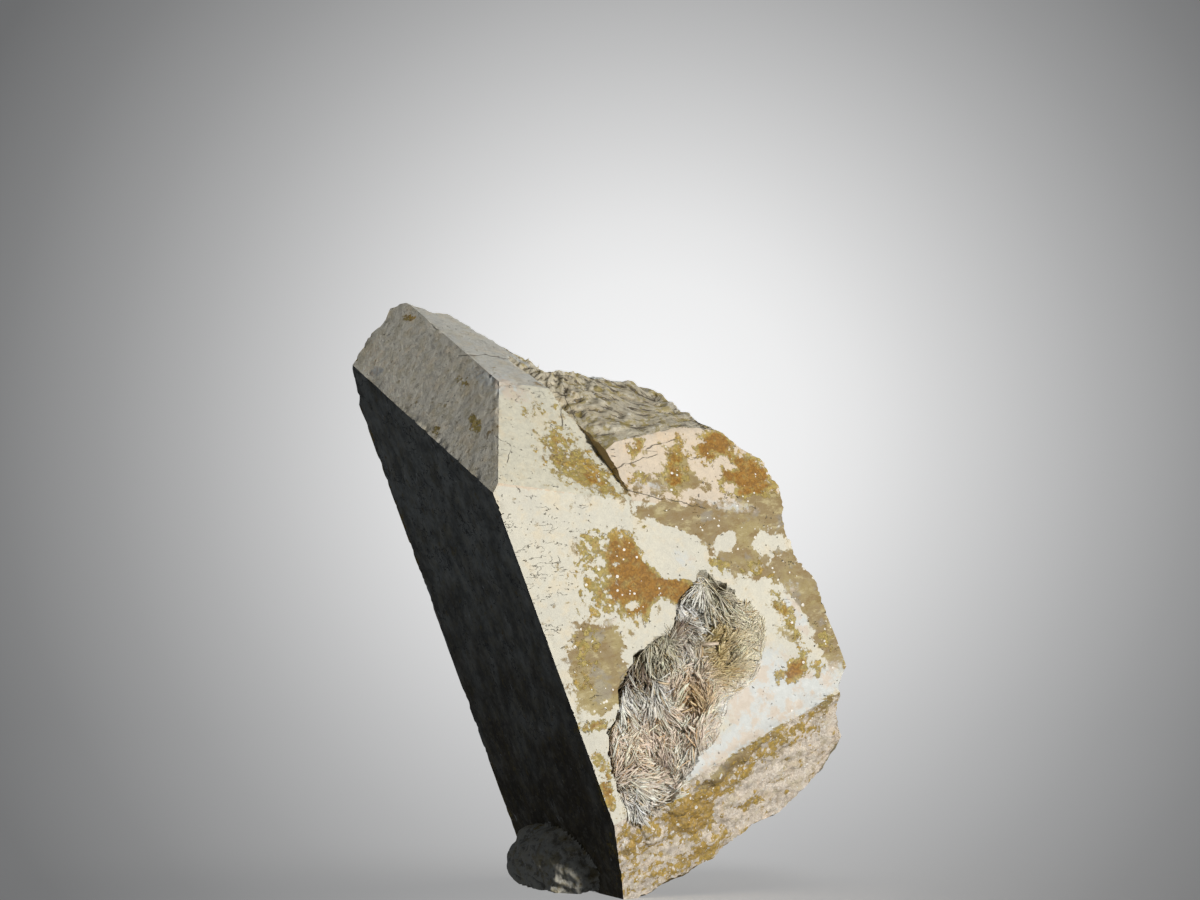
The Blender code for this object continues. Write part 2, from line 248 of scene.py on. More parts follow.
@dataclass
class CrystalShape:
    """The crystal's sheets: flat faces, broken side and fused lump.

    Attributes:
        lattice: Cell that the faces follow.
        faces: Miller index and distance of each lattice face.
        surfaces: Compass angle, rise and distance of each other plane.
        outline: Where the front breaks off, as x, z seen from the front.
        clear: Outline points that stay clear of the left face.
        foot_line: Height below which the outline is not a rim.
        hub: Middle of the outline, x and z.
        shrink: How much the broken side closes in, per millimetre back.
        knob_middle: Middle of the fused lump.
        knob_size: Its half lengths along, out of and down the left face.
        break_plane: Compass angle, rise and distance of the top's break.
    """

    lattice: Lattice = field(default_factory=Lattice)
    faces: dict[Zone, tuple[tuple[int, int, int], float]] = field(
        default_factory=lambda: {
            Zone.LEFT: ((0, 0, 1), 16.10), Zone.FRONT: ((0, 1, 0), -6.32),
            Zone.UPPER: ((-1, 3, 0), -8.48), Zone.TOP: ((-1, 1, 0), 1.35),
            Zone.CAP: ((-1, 1, 1), 5.92), Zone.BACK: ((0, -1, 0), 48.86),
            Zone.RIGHT: ((0, 0, -1), 29.10), Zone.SHELF: ((0, -1, 0), 46.6),
            Zone.STEP: ((0, 0, -1), 9.50)})
    surfaces: dict[Zone, Triple] = field(
        default_factory=lambda: {
            Zone.LEDGE: (-66.9, 17.2, -7.38), Zone.BAND: (-53.9, -21.1, 20.68),
            Zone.WALL: (-150.6, -22.7, -4.62), Zone.FOOT: (0.0, -90.0, 68.28),
            Zone.CRACK: (29.4, 22.7, 5.90), Zone.ROUGH: (-75.5, 45.1, -5.41),
            Zone.TIP: (-94.0, 44.3, -6.26)})
    outline: tuple[tuple[float, float], ...] = (
        (-38.2, 7.6), (-39.4, 13.0), (-37.5, 17.2), (-34.0, 21.4),
        (-33.6, 22.6), (-31.5, 23.6), (-30.3, 23.5), (-26.5, 21.7),
        (-24.0, 21.6), (-18.1, 18.0), (-14.6, 15.8), (-8.6, 12.8),
        (-6.2, 12.2), (0.0, 11.3), (6.3, 10.2), (8.6, 9.1), (10.6, 7.8),
        (14.7, 4.6), (18.8, 2.5), (25.2, -1.5), (28.1, -5.6), (28.4, -8.5),
        (28.1, -10.5), (29.5, -13.6), (30.2, -16.7), (32.3, -19.0),
        (35.2, -24.6), (36.8, -29.4), (38.0, -33.5), (36.7, -36.6),
        (36.4, -41.1), (37.3, -44.4), (36.3, -46.6), (34.0, -50.0),
        (30.2, -54.1), (27.9, -55.9), (23.8, -57.9), (17.4, -62.7),
        (13.5, -64.5), (9.0, -66.6), (5.8, -68.4), (4.6, -70.9),
        (2.8, -77.1))
    clear: tuple[tuple[float, float], ...] = (
        (4.0, -88.0), (-48.0, -88.0), (-48.0, -2.0))
    foot_line: float = -78.0
    hub: tuple[float, float] = (-1.5, -61.5)
    shrink: float = 0.0065
    knob_middle: Triple = (-6.6, 25.5, -65.2)
    knob_size: Triple = (13.0, 5.6, 6.8)
    break_plane: Triple = (40.2, 0.0, 6.23)

    def __post_init__(self) -> None:
        """Work out the planes and the side's outline in polar form."""
        planes = {z: (self.lattice.normal(i), d)
                  for z, (i, d) in self.faces.items()}
        planes.update({z: (aimed(c, r), d)
                       for z, (c, r, d) in self.surfaces.items()})
        ordered = [planes[z] for z in Zone if z in planes]
        self.normals = np.array([n for n, _ in ordered])
        self.distances = np.array([d for _, d in ordered])
        self._polar_outline()

    def _polar_outline(self) -> None:
        """Outline as radius and rim depth against the angle round the hub."""
        loop = np.array(self.outline + self.clear)
        places, self.rim_angle, self.rim_radius = polar(loop, self.hub, 24)
        x, z = places.T
        depth = np.where(z < self.foot_line, 30.0, self.front_depth(x, z))
        self.rim_depth = np.clip(depth, -5, 40)

    def plane(self, zone: Zone) -> tuple[Array, float]:
        """Normal and distance of a zone's plane."""
        return self.normals[zone], self.distances[zone]

    def front_depth(self, x: Array, z: Array) -> Array:
        """Depth at which a line from the front first meets the crystal."""
        found = np.full(np.shape(x), -99.0)
        for zone in (Zone.LEFT, Zone.FRONT, Zone.LEDGE, Zone.CAP, Zone.TOP,
                     Zone.BAND):
            n, d = self.plane(zone)
            found = np.maximum(found, (d - n[0] * x - n[2] * z) / n[1])
        return found

    def side(self, points: Array) -> Array:
        """How far points are outside the broken side.

        Formula: distance from the hub, less the outline's radius at that
        angle, which closes in evenly as the side goes back, less noise
        and one low rib that starts behind the front.
        """
        away = points[:, (0, 2)] - self.hub
        angle = np.arctan2(away[:, 1], away[:, 0])
        turn = {"period": 2 * math.pi}
        radius = np.interp(angle, self.rim_angle, self.rim_radius, **turn)
        depth = np.interp(angle, self.rim_angle, self.rim_depth, **turn)
        behind = points[:, 1] - depth
        closed = 1 - self.shrink * np.maximum(behind, 0)
        rough = Texture(4).layered(points * 0.16, 3)
        rough *= 0.35 + 1.7 * ease(0, 7, behind)
        rough += 0.55 * Texture(14).layered(points * 0.55, 4)
        rough += 1.7 * np.exp(-((angle - 0.13) / 0.06) ** 2) * ease(
            3, 8, behind)
        return np.linalg.norm(away, axis=1) - radius * closed - rough

    def knob_axes(self) -> Array:
        """Directions level along, out of and down the left face."""
        out = self.plane(Zone.LEFT)[0]
        along = np.cross(out, [0, 0, 1])
        along /= np.linalg.norm(along)
        return np.array([along, out, np.cross(out, along)])

    def knob(self, points: Array) -> Array:
        """Roughly how far points are outside the fused lump."""
        local = (points - self.knob_middle) @ self.knob_axes().T
        return (np.linalg.norm(local / self.knob_size, axis=1) - 1) * 6.5

    def values(self, points: Array) -> Array:
        """Signed distance of points from every sheet, n by 18."""
        flat = points @ self.normals.T - self.distances
        return np.column_stack([flat, self.side(points), self.knob(points)])

    def solid(self, v: Array) -> Array:
        """Join sheet values: positive is outside the crystal.

        Formula: the greatest of the outer sheets, with each ledge or notch
        as the lesser of its two planes, then the lump added.
        """
        sheets = [v[:, zone] for zone in (*OUTER, Zone.SIDE)]
        sheets += [np.minimum(v[:, a], v[:, b]) for a, b in NOTCHES]
        sheets += [np.minimum(v[:, Zone.TIP], -v[:, Zone.WALL])]
        shell = np.minimum(np.max(sheets, axis=0), v[:, Zone.KNOB])
        return np.maximum(shell, v[:, Zone.FOOT])

    def zone_of(self, points: Array) -> Array:
        """Number of the sheet that each surface point lies on."""
        v = self.values(points)
        size = np.abs(v)
        size[:, Zone.TIP] += BARRED * (v[:, Zone.WALL] > 0)
        size[:, Zone.CRACK] += BARRED * (v[:, Zone.ROUGH] < -0.01)
        for low, high in NOTCHES:
            first = v[:, low] <= v[:, high]
            size[:, low] += BARRED * ~first
            size[:, high] += BARRED * first
        return np.argmin(size, axis=1)

    def past_break(self, points: Array) -> Array:
        """How far points lie beyond where the top face is broken off."""
        compass, rise, distance = self.break_plane
        return points @ aimed(compass, rise) - distance


@dataclass
class RayGrid:
    """Closed skin found along rays that fan out from a leaning axis.

    The two parameters are the turn round the axis and the way along it.
    Rays stand square to the axis along its length and fan out to a pole
    past each end.

    Attributes:
        shape: Crystal whose surface is found.
        low: Lower end of the axis.
        high: Upper end of the axis.
        columns: Rays round the axis.
        rows: Rows in the lower fan, along the axis and in the upper fan.
        halvings: Steps that find the broken side on a ray.
        corrections: Steps that move a point onto its sheets.
        corner_room: Longest move to a corner, as a share of the way to the
            farther neighbour.
        edge_room: Longest move to an edge, as a share of the way to the
            neighbour.
    """

    shape: CrystalShape
    low: Triple = (-2.0, 26.0, -65.6)
    high: Triple = (-6.0, 27.0, 0.0)
    columns: int = 326
    rows: tuple[int, int, int] = (18, 180, 104)
    halvings: int = 26
    corrections: int = 4
    corner_room: float = 0.8
    edge_room: float = 0.75

    def turns(self) -> Array:
        """Turn of each column, closer together where the front faces.

        Formula: the inverse of the running sum of a density with a broad
        hump at the front face and lower ones at the left face and at its
        far edge.
        """
        fine = np.linspace(-math.pi, math.pi, 4000)
        front, left = math.radians(25), math.radians(-62)
        dense = (0.55 + 1.7 * np.exp(-((fine - front) / 0.85) ** 2)
                 + 0.75 * np.exp(-((fine - left) / 0.5) ** 2)
                 + 0.6 * np.exp(-((fine + 2.1) / 0.3) ** 2))
        total = np.cumsum(dense)
        share = np.arange(self.columns) / self.columns * total[-1]
        return np.interp(share, total, fine)

    def rays(self) -> tuple[Array, Array]:
        """Start and direction of every ray, row by row.

        Returns:
            Two arrays, rows by columns by 3.
        """
        low, high = np.array(self.low), np.array(self.high)
        up = (high - low) / np.linalg.norm(high - low)
        ahead = np.array([0.0, -1.0, 0.0])
        ahead = ahead - up * (ahead @ up)
        ahead /= np.linalg.norm(ahead)
        across = np.cross(up, -ahead)
        near, middle, far = self.rows
        dip = np.concatenate([np.linspace(-89.0, -14, near // 2),
                              np.linspace(-12.5, -1, near - near // 2)])
        lift = np.linspace(0.9, 89.4, far)
        rise = np.radians(np.concatenate([dip, np.zeros(middle), lift]))
        along = np.concatenate([np.zeros(near), np.linspace(0, 1, middle),
                                np.ones(far)])
        start = low + (high - low) * along[:, None]
        turn = self.turns()
        flat = (np.cos(turn)[:, None] * ahead
                + np.sin(turn)[:, None] * across)
        way = (np.cos(rise)[:, None, None] * flat
               + np.sin(rise)[:, None, None] * up)
        return np.broadcast_to(start[:, None, :], way.shape), way

    def reach(self, start: Array, way: Array) -> Array:
        """Length of each ray to the surface.

        Formula: the least length to any outer plane; where that end lies
        outside the broken side, halving finds the side instead; where it
        lies inside the lump, the lump's far wall is taken.
        """
        shape = self.shape
        speed = way @ shape.normals.T
        room = shape.distances - start @ shape.normals.T
        with np.errstate(divide="ignore", invalid="ignore"):
            length = np.where(speed > 1e-9, room / speed, 1e6)
        best = length[:, OUTER].min(axis=1)
        for pair in NOTCHES:
            for one, other in (pair, pair[::-1]):
                n, d = shape.plane(other)
                found = np.clip(length[:, one], 0, FAR)
                end = start + way * found[:, None]
                cut = (end @ n >= d) & (length[:, one] > 0)
                best = np.where(cut, np.minimum(best, found), best)
        n, d = shape.plane(Zone.WALL)
        tip = np.clip(length[:, Zone.TIP], 0, FAR)
        end = start + way * tip[:, None]
        best = np.where((end @ n <= d) & (tip > 0), np.minimum(best, tip),
                        best)
        best = np.minimum(best, FAR)
        outside = shape.side(start + way * best[:, None]) > 0
        inner, outer_end = np.zeros(outside.sum()), best[outside].copy()
        for _ in range(self.halvings):
            half = (inner + outer_end) / 2
            out = shape.side(start[outside] + way[outside]
                             * half[:, None]) > 0
            outer_end = np.where(out, half, outer_end)
            inner = np.where(out, inner, half)
        best[outside] = outer_end
        best = self._add_knob(start, way, best)
        foot = length[:, Zone.FOOT]
        return np.where(foot > 0, np.minimum(best, foot), best)

    def _add_knob(self, start: Array, way: Array, best: Array) -> Array:
        """Carry rays that end inside the lump on to its far wall."""
        shape = self.shape
        axes = shape.knob_axes().T
        ray = way @ axes / shape.knob_size
        off = (start - shape.knob_middle) @ axes / shape.knob_size
        a = (ray * ray).sum(axis=1)
        b = (ray * off).sum(axis=1)
        c = (off * off).sum(axis=1) - 1
        root = b * b - a * c
        far = (-b + np.sqrt(np.maximum(root, 0))) / a
        near = (-b - np.sqrt(np.maximum(root, 0))) / a
        hit = (root > 0) & (near < best) & (far > best)
        return np.where(hit, far, best)

    def snap(self, grid: Array) -> Array:
        """Move points beside an edge or a corner onto it.

        Formula: where a neighbour lies on another sheet, the smallest move
        that puts the point on both sheets; it is kept if it is shorter
        than a share of the way to that neighbour and still ends on the
        surface.  Where neighbours lie on two other sheets, all three.

        Args:
            grid: Surface points, rows by columns by 3.
        """
        shape = self.shape
        zone = shape.zone_of(grid.reshape(-1, 3)).reshape(grid.shape[:2])
        moved, done = grid.copy(), np.zeros(zone.shape, bool)
        steps = [(0, 1), (0, -1), (1, 0), (-1, 0)]
        beside = [self._beside(zone, step) for step in steps]
        reach = [np.linalg.norm(self._beside(grid, step) - grid, axis=2)
                 for step in steps]
        for first in range(4):
            for second in range(first + 1, 4):
                a, b = beside[first], beside[second]
                corner = (a != zone) & (b != zone) & (a != b) & ~done
                room = np.maximum(reach[first], reach[second])
                room = room * self.corner_room
                self._settle(grid, moved, done, corner, [zone, a, b], room)
        for other, length in zip(beside, reach):
            edge = (other != zone) & ~done
            self._settle(grid, moved, done, edge, [zone, other],
                         length * self.edge_room)
        return moved

    def _beside(self, grid: Array, step: tuple[int, int]) -> Array:
        """The grid shifted by a step: round its columns, not its rows."""
        shifted = np.roll(grid, -step[1], axis=1)
        if step[0]:
            rows = np.clip(np.arange(len(grid)) + step[0], 0, len(grid) - 1)
            shifted = shifted[rows]
        return shifted

    def _settle(self, grid: Array, moved: Array, done: Array, where: Array,
                sheets: list[Array], room: Array) -> None:
        """Move the chosen points onto their sheets, if that is near."""
        shape = self.shape
        pick = np.stack([sheet[where] for sheet in sheets], axis=1)
        start = grid[where]
        points = start.copy()
        knob = (pick == Zone.KNOB).any(axis=1)
        pick = np.minimum(pick, Zone.SIDE)
        rows = np.arange(len(points))[:, None]
        for _ in range(self.corrections):
            f = shape.values(points)[rows, pick]
            j = self._slopes(points)[rows, pick]
            square = j @ j.transpose(0, 2, 1) + np.eye(len(sheets)) * 1e-4
            turn = np.linalg.solve(square, f[:, :, None])
            points = points - (j.transpose(0, 2, 1) @ turn)[:, :, 0]
        far = np.linalg.norm(points - start, axis=1)
        on = np.abs(shape.solid(shape.values(points))) < ON_SHEET
        keep = on & (far < room[where]) & ~knob
        index = np.argwhere(where)[keep]
        moved[index[:, 0], index[:, 1]] = points[keep]
        done[index[:, 0], index[:, 1]] = True

    def _slopes(self, points: Array) -> Array:
        """Normal of every sheet at points, n by 17 by 3."""
        flat = np.broadcast_to(self.shape.normals, (len(points), 16, 3))
        middle = self.shape.side(points)
        side = np.stack([(self.shape.side(points + step) - middle) / 0.02
                         for step in np.eye(3) * 0.02], axis=1)
        return np.concatenate([flat, side[:, None, :]], axis=1)

    def build(self) -> tuple[Array, Array]:
        """Points of the closed skin and its triangles."""
        start, way = self.rays()
        rows, columns = way.shape[:2]
        flat_start = start.reshape(-1, 3)
        flat_way = way.reshape(-1, 3)
        length = self.reach(flat_start, flat_way)
        points = flat_start + flat_way * length[:, None]
        points = self.snap(points.reshape(rows, columns, 3)).reshape(-1, 3)
        poles = np.array([[self.low[0], self.low[1],
                           -self.shape.distances[Zone.FOOT]],
                          points[-columns:].mean(axis=0)])
        return np.vstack([points, poles]), self._faces(rows, columns, points)

    def _faces(self, rows: int, columns: int, points: Array) -> Array:
        """Triangles of the grid, each cell split along its truer diagonal."""
        index = np.arange(rows * columns).reshape(rows, columns)
        right = np.roll(index, -1, axis=1)
        a, b = index[:-1].ravel(), right[:-1].ravel()
        c, d = right[1:].ravel(), index[1:].ravel()
        shape = self.shape
        one = (points[a] + points[c]) / 2
        two = (points[b] + points[d]) / 2
        miss_one = np.abs(shape.solid(shape.values(one)))
        miss_two = np.abs(shape.solid(shape.values(two)))
        first = (miss_one < miss_two)[:, None]
        upper = np.where(first, np.stack([a, b, c], 1),
                         np.stack([a, b, d], 1))
        lower = np.where(first, np.stack([a, c, d], 1),
                         np.stack([b, c, d], 1))
        foot = np.full(columns, rows * columns)
        ends = [np.stack([foot, right[0], index[0]], 1),
                np.stack([foot + 1, index[-1], right[-1]], 1)]
        return np.vstack([upper, lower] + ends)


# --------------------------------------------------------------- hollow
@dataclass(frozen=True)
class Hollow:
    """Hollow in the front face, in that face's own plane.

    Attributes:
        normal: Unit vector out of the face.
        up: Unit vector along the face's long edge.
        corner: Where the front face's origin lies.
        outline: Rim, as distance up and across.
        middle: Deepest place.
        depth: Depth there.
        gap: Room left between the crust and the crystal.
        high_floor: Where the floor lies higher, up and across.
    """

    normal: Triple
    up: Triple
    corner: Triple = (-16.62, -0.40, -4.88)
    outline: tuple[tuple[float, float], ...] = (
        (-24.2, -27.7), (-27.0, -22.5), (-30.9, -19.7), (-31.1, -16.8),
        (-32.1, -12.7), (-36.3, -8.6), (-39.9, -6.5), (-41.8, -4.3),
        (-48.7, -2.3), (-51.8, -2.4), (-54.6, -3.3), (-56.4, -6.2),
        (-55.5, -9.9), (-52.2, -14.4), (-47.8, -19.9), (-42.3, -23.4),
        (-40.9, -28.9), (-38.1, -31.3), (-34.2, -33.4), (-28.8, -31.4))
    middle: tuple[float, float] = (-42.0, -17.0)
    depth: float = 4.6
    gap: float = 0.3
    high_floor: tuple[float, float] = (-25.0, -27.6)

    @classmethod
    def of(cls, shape: CrystalShape) -> "Hollow":
        """Hollow in the front face of a crystal."""
        left, front = shape.plane(Zone.LEFT)[0], shape.plane(Zone.FRONT)[0]
        up = np.cross(left, front)
        return cls(tuple(front), tuple(up / np.linalg.norm(up)))

    def across(self) -> Array:
        """Unit vector across the face."""
        return np.cross(self.normal, self.up)

    def flat(self, points: Array) -> Array:
        """Distance up, across and out of the face, n by 3."""
        axes = np.array([self.up, self.across(), self.normal])
        return (points - self.corner) @ axes.T

    def place(self, u: Array, v: Array, out: Array) -> Array:
        """Points at distances up, across and out of the face."""
        return (np.array(self.corner) + np.outer(u, self.up)
                + np.outer(v, self.across()) + np.outer(out, self.normal))

    def inside(self, u: Array, v: Array) -> Array:
        """Distance inside the rim, negative outside it.

        Formula: the least distance to the rim's straight parts, with its
        sign from how many of them a line to the side crosses.
        """
        a = np.array(self.outline)
        b = np.roll(a, -1, axis=0)
        p = np.stack([u, v], axis=1)[:, None, :]
        along = ((p - a) * (b - a)).sum(axis=2) / ((b - a) ** 2).sum(axis=1)
        near = a + (b - a) * np.clip(along, 0, 1)[:, :, None]
        far = np.linalg.norm(p - near, axis=2).min(axis=1)
        over = (a[:, 0] > u[:, None]) != (b[:, 0] > u[:, None])
        rise = np.where(over, b[:, 0] - a[:, 0], 1.0)
        at = a[:, 1] + (u[:, None] - a[:, 0]) / rise * (b[:, 1] - a[:, 1])
        crossed = (over & (v[:, None] < at)).sum(axis=1) % 2
        return np.where(crossed == 1, far, -far)

    def gentle(self, u: Array, v: Array) -> Array:
        """1 on the right, where the hollow runs out, and 0 elsewhere."""
        return ease(14, 24, -v) * ease(29, 38, -u)

    def sink(self, u: Array, v: Array) -> Array:
        """Depth of the hollow.

        Formula: a wall that falls within 1.3 mm of the rim, or 8 mm where
        it is gentle, to a floor that waves a little and lies higher under
        the round tuft.
        """
        ragged = Texture(21).layered(on_plane(u, v) * 0.7, 3)
        inside = self.inside(u, v) + ragged * 0.9
        width = 1.3 + 7.0 * self.gentle(u, v)
        t = np.clip(inside / width, 0, 1)
        floor = self.depth * (0.78 + 0.22 * ease(0, 9, inside))
        tuft = np.hypot(u - self.high_floor[0], v - self.high_floor[1])
        return floor * (1 - (1 - t) ** 2) * (1 - 0.55 * ease(3.0, 0.5, tuft))


# ---------------------------------------------------------------- marks
@dataclass(frozen=True)
class Patch:
    """Oval patch of weathering, placed by x and z seen from the front.

    Attributes:
        x: Its middle, in millimetres as they look at the datum's depth.
        z: Its middle.
        wide: Half its length.
        tall: Half its width.
        turn: Turn of its length from +X, in degrees.
        strength: How strongly it shows; negative holds others back.
    """

    x: float
    z: float
    wide: float
    tall: float
    turn: float = 0.0
    strength: float = 1.0

    def at(self, x: Array, z: Array) -> Array:
        """Weight: strength times a hump that ends a little past the oval."""
        turn = math.radians(self.turn)
        c, s = math.cos(turn), math.sin(turn)
        u = ((x - self.x) * c + (z - self.z) * s) / self.wide
        v = ((z - self.z) * c - (x - self.x) * s) / self.tall
        return self.strength * np.exp(-0.7 * (u * u + v * v) ** 1.5)


def patches(*rows: tuple[float, ...]) -> tuple[Patch, ...]:
    """Patches from rows of x, z, half length, half width, turn, strength."""
    return tuple(Patch(*row) for row in rows)


@dataclass(frozen=True)
class Weathering:
    """Where the marks on the surface lie.

    Attributes:
        stain: Iron stain.
        olive: Clear grey-olive glaze.
        milk: Milky skin.
        fissures: Hairline fissures, as x, z seen from the front.
    """

    stain: tuple[Patch, ...] = patches(
        (5.2, -16.4, 3.4, 3.4, 0, 1.2), (7.4, -21.9, 5.6, 3.5, -4, 1.35),
        (12.2, -20.2, 3.2, 1.7, 15, 1.1), (7.7, -11.0, 1.6, 1.3, 0, 0.8),
        (-0.9, -18.6, 3.6, 6.6, 0, 0.44), (2.2, -13.0, 3.2, 1.8, 10, 0.4),
        (-1.8, -29.8, 2.2, 2.6, 0, 0.5), (-2.4, -34.2, 1.4, 2.8, 0, 0.5),
        (-1.2, -41.4, 2.8, 0.9, 8, 0.85), (0.9, -50.4, 1.15, 4.8, 14, 0.9),
        (-3.2, -2.4, 6.2, 2.5, -33, 0.78), (-6.4, 2.6, 2.2, 1.4, -25, 0.5),
        (0.6, -5.4, 2.8, 1.3, -30, 0.15), (-9.8, 6.1, 2.8, 1.0, 6, 0.55),
        (5.4, 0.5, 1.1, 1.7, -25, 0.95), (11.4, -1.8, 1.4, 3.9, -10, 0.85),
        (6.4, -3.7, 1.9, 1.5, 0, 0.65), (12.8, -4.8, 3.4, 1.2, -10, 0.5),
        (17.0, 0.6, 2.5, 2.0, 20, 1.45), (21.9, -4.0, 3.9, 2.9, -30, 1.5),
        (18.9, -1.8, 3.4, 0.6, -38, -0.9), (16.2, -4.6, 1.0, 2.0, -40, -0.6),
        (19.8, -5.4, 0.9, 0.7, 0, -0.9), (23.0, -7.2, 0.9, 0.6, 0, -0.9),
        (14.2, -5.9, 1.8, 1.0, 0, -0.8), (17.2, -17.2, 2.2, 1.3, -20, 0.8),
        (23.6, -18.0, 2.2, 1.6, 0, 0.5), (29.1, -33.0, 2.3, 1.6, 35, 1.05),
        (32.8, -32.4, 0.9, 1.4, -10, 0.8), (28.2, -25.4, 0.9, 5.0, 26, 0.75),
        (34.2, -28.4, 1.5, 2.2, 20, 0.6), (13.6, -54.4, 3.2, 3.0, 0, 1.35),
        (18.6, -50.6, 4.6, 1.4, 42, 0.85), (25.5, -44.4, 4.8, 1.7, 40, 0.72),
        (8.0, -57.4, 6.0, 2.2, 14, 0.58), (15.0, -60.2, 4.0, 1.5, 32, 0.9),
        (4.2, -61.4, 2.4, 3.4, 0, 0.6), (22.4, -53.2, 1.6, 0.6, 30, 0.9),
        (9.0, -63.4, 3.4, 1.4, 25, 0.5), (31.0, -41.6, 2.6, 1.4, 45, 0.3),
        (-28.6, 20.1, 0.9, 0.7, 0, 0.6), (-20.6, 10.1, 1.0, 0.9, 0, 0.6),
        (-18.7, 3.7, 1.0, 1.4, 0, 0.7), (-24.6, 3.0, 0.9, 0.5, 0, 0.5),
        # bare islands
        (11.0, -15.5, 4.6, 3.0, -35, -2.4), (18.9, -13.7, 1.5, 1.5, 0, -2.0),
        (5.0, -23.2, 0.9, 0.5, 10, -1.5), (9.6, -25.0, 1.7, 2.7, 12, -2.2))
    olive: tuple[Patch, ...] = patches(
        (19.5, -12.2, 7.0, 3.8, -12, 1.1), (22.0, -16.8, 6.0, 2.4, -12, 0.8),
        (11.4, -10.3, 6.2, 1.7, -14, 1.3), (25.0, -9.2, 4.6, 1.8, -6, 1.1),
        (32.9, -23.4, 2.5, 6.6, 24, 1.7), (35.4, -29.6, 1.7, 3.2, 12, 1.1),
        (28.2, -20.4, 1.8, 3.2, 20, 0.7), (27.8, -26.4, 1.1, 4.0, 24, 0.8),
        (-0.6, -30.2, 3.5, 4.0, 0, 1.6), (-0.2, -35.6, 3.1, 3.8, 14, 1.6),
        (3.2, -39.4, 2.6, 1.0, 30, -1.5), (11.2, -2.0, 2.0, 3.4, 0, 0.7),
        (8.0, -5.6, 3.4, 1.6, 0, 0.6), (13.0, -4.6, 3.6, 1.6, -10, 0.8),
        (24.8, -7.4, 3.0, 1.4, -10, 0.9), (-3.6, -2.6, 6.4, 2.4, -33, 0.55),
        (23.6, -43.6, 8.0, 1.1, 43, 1.15), (16.6, -50.4, 4.4, 1.0, 42, 1.0),
        (33.4, -37.8, 2.2, 1.3, 30, 0.9), (11.0, -15.5, 4.9, 3.3, -35, -2.0),
        (18.9, -13.7, 1.4, 1.4, 0, -2.4), (24.2, -14.2, 2.2, 1.5, 30, -1.1),
        (29.4, -24.8, 0.8, 2.8, 30, -1.8))
    milk: tuple[Patch, ...] = patches(
        (27.0, -41.0, 12.0, 3.0, 42, 1.3), (17.0, -47.6, 5.0, 2.8, 44, 1.2),
        (23.5, -35.5, 7.0, 5.5, 50, 0.95), (29.4, -24.8, 0.85, 2.9, 30, 1.4),
        (28.8, -20.4, 1.4, 1.2, 0, 0.5), (12.6, -16.4, 2.4, 1.4, -30, 0.6),
        (19.6, -8.4, 4.6, 1.0, -8, 0.6), (7.4, -5.4, 3.4, 0.9, -14, 0.6),
        (-14.8, 9.8, 6.0, 1.8, -28, 0.7), (7.6, 2.4, 3.0, 1.0, 15, 0.4),
        (1.6, -25.8, 2.0, 0.8, 20, 0.6), (-33.5, 11.8, 1.2, 0.6, 20, 1.0))

    fissures: tuple[tuple[tuple[float, float], ...], ...] = (
        ((-5.5, 8.9), (-5.3, 7.4), (-6.0, 5.9), (-5.8, 4.4)),
        ((-5.3, 7.4), (-4.1, 5.5), (-3.5, 4.0)),
        ((1.5, -3.0), (4.9, -1.7), (7.8, -0.9)),
        ((7.6, 0.5), (9.2, 1.0), (10.8, 1.5)),
        ((4.2, -6.0), (8.0, -7.0), (11.6, -7.7), (15.0, -8.6)),
        ((-20.4, 14.2), (-17.6, 14.3), (-14.4, 13.9)),
        ((-15.0, 1.6), (-13.4, 0.8), (-13.8, -1.4)))

    def cuts(self, points: Array, facing: Array) -> tuple[Array, Array]:
        """Hairline fissures.

        Formula: the signed distance to the nearest straight part of any
        fissure, with a little noise, and a weight that is 1 beside the
        fissure and 0 past its ends.
        """
        x, z = self.seen(points)
        p = np.stack([x, z], axis=1)
        off, best = np.full(len(p), 9.0), np.full(len(p), 9.0)
        wave = Texture(18).layered(on_plane(x, z) * 1.1, 3) * 0.4
        for line in self.fissures:
            for a, b in zip(np.array(line[:-1]), np.array(line[1:])):
                way = (b - a) / np.linalg.norm(b - a)
                along = np.clip((p - a) @ way, 0, np.linalg.norm(b - a))
                far = np.linalg.norm(p - a - along[:, None] * way, axis=1)
                signed = (p - a) @ np.array([-way[1], way[0]])
                near = far < best
                off = np.where(near, signed, off)
                best = np.where(near, far, best)
        weight = ease(1.1, 0.6, best) * (facing > 0)
        return off + wave, weight

    def seen(self, points: Array) -> tuple[Array, Array]:
        """Where points look to be from the front, x and z."""
        near = EYE_DISTANCE / (EYE_DISTANCE + points[:, 1])
        return points[:, 0] * near, points[:, 2] * near

    def layer(self, patches: tuple[Patch, ...], points: Array,
              facing: Array) -> Array:
        """Weight of one kind of mark.

        Formula: the patches' sum, where the surface faces the front, and
        broad noise in their place where it faces away.
        """
        x, z = self.seen(points)
        total = sum(patch.at(x, z) for patch in patches)
        seed = len(patches)
        loose = Texture(seed).layered(points * 0.075, 4) * 2.2 - 0.1
        front = ease(-0.05, 0.25, facing)
        return total * front + np.maximum(loose, -0.5) * (1 - front)


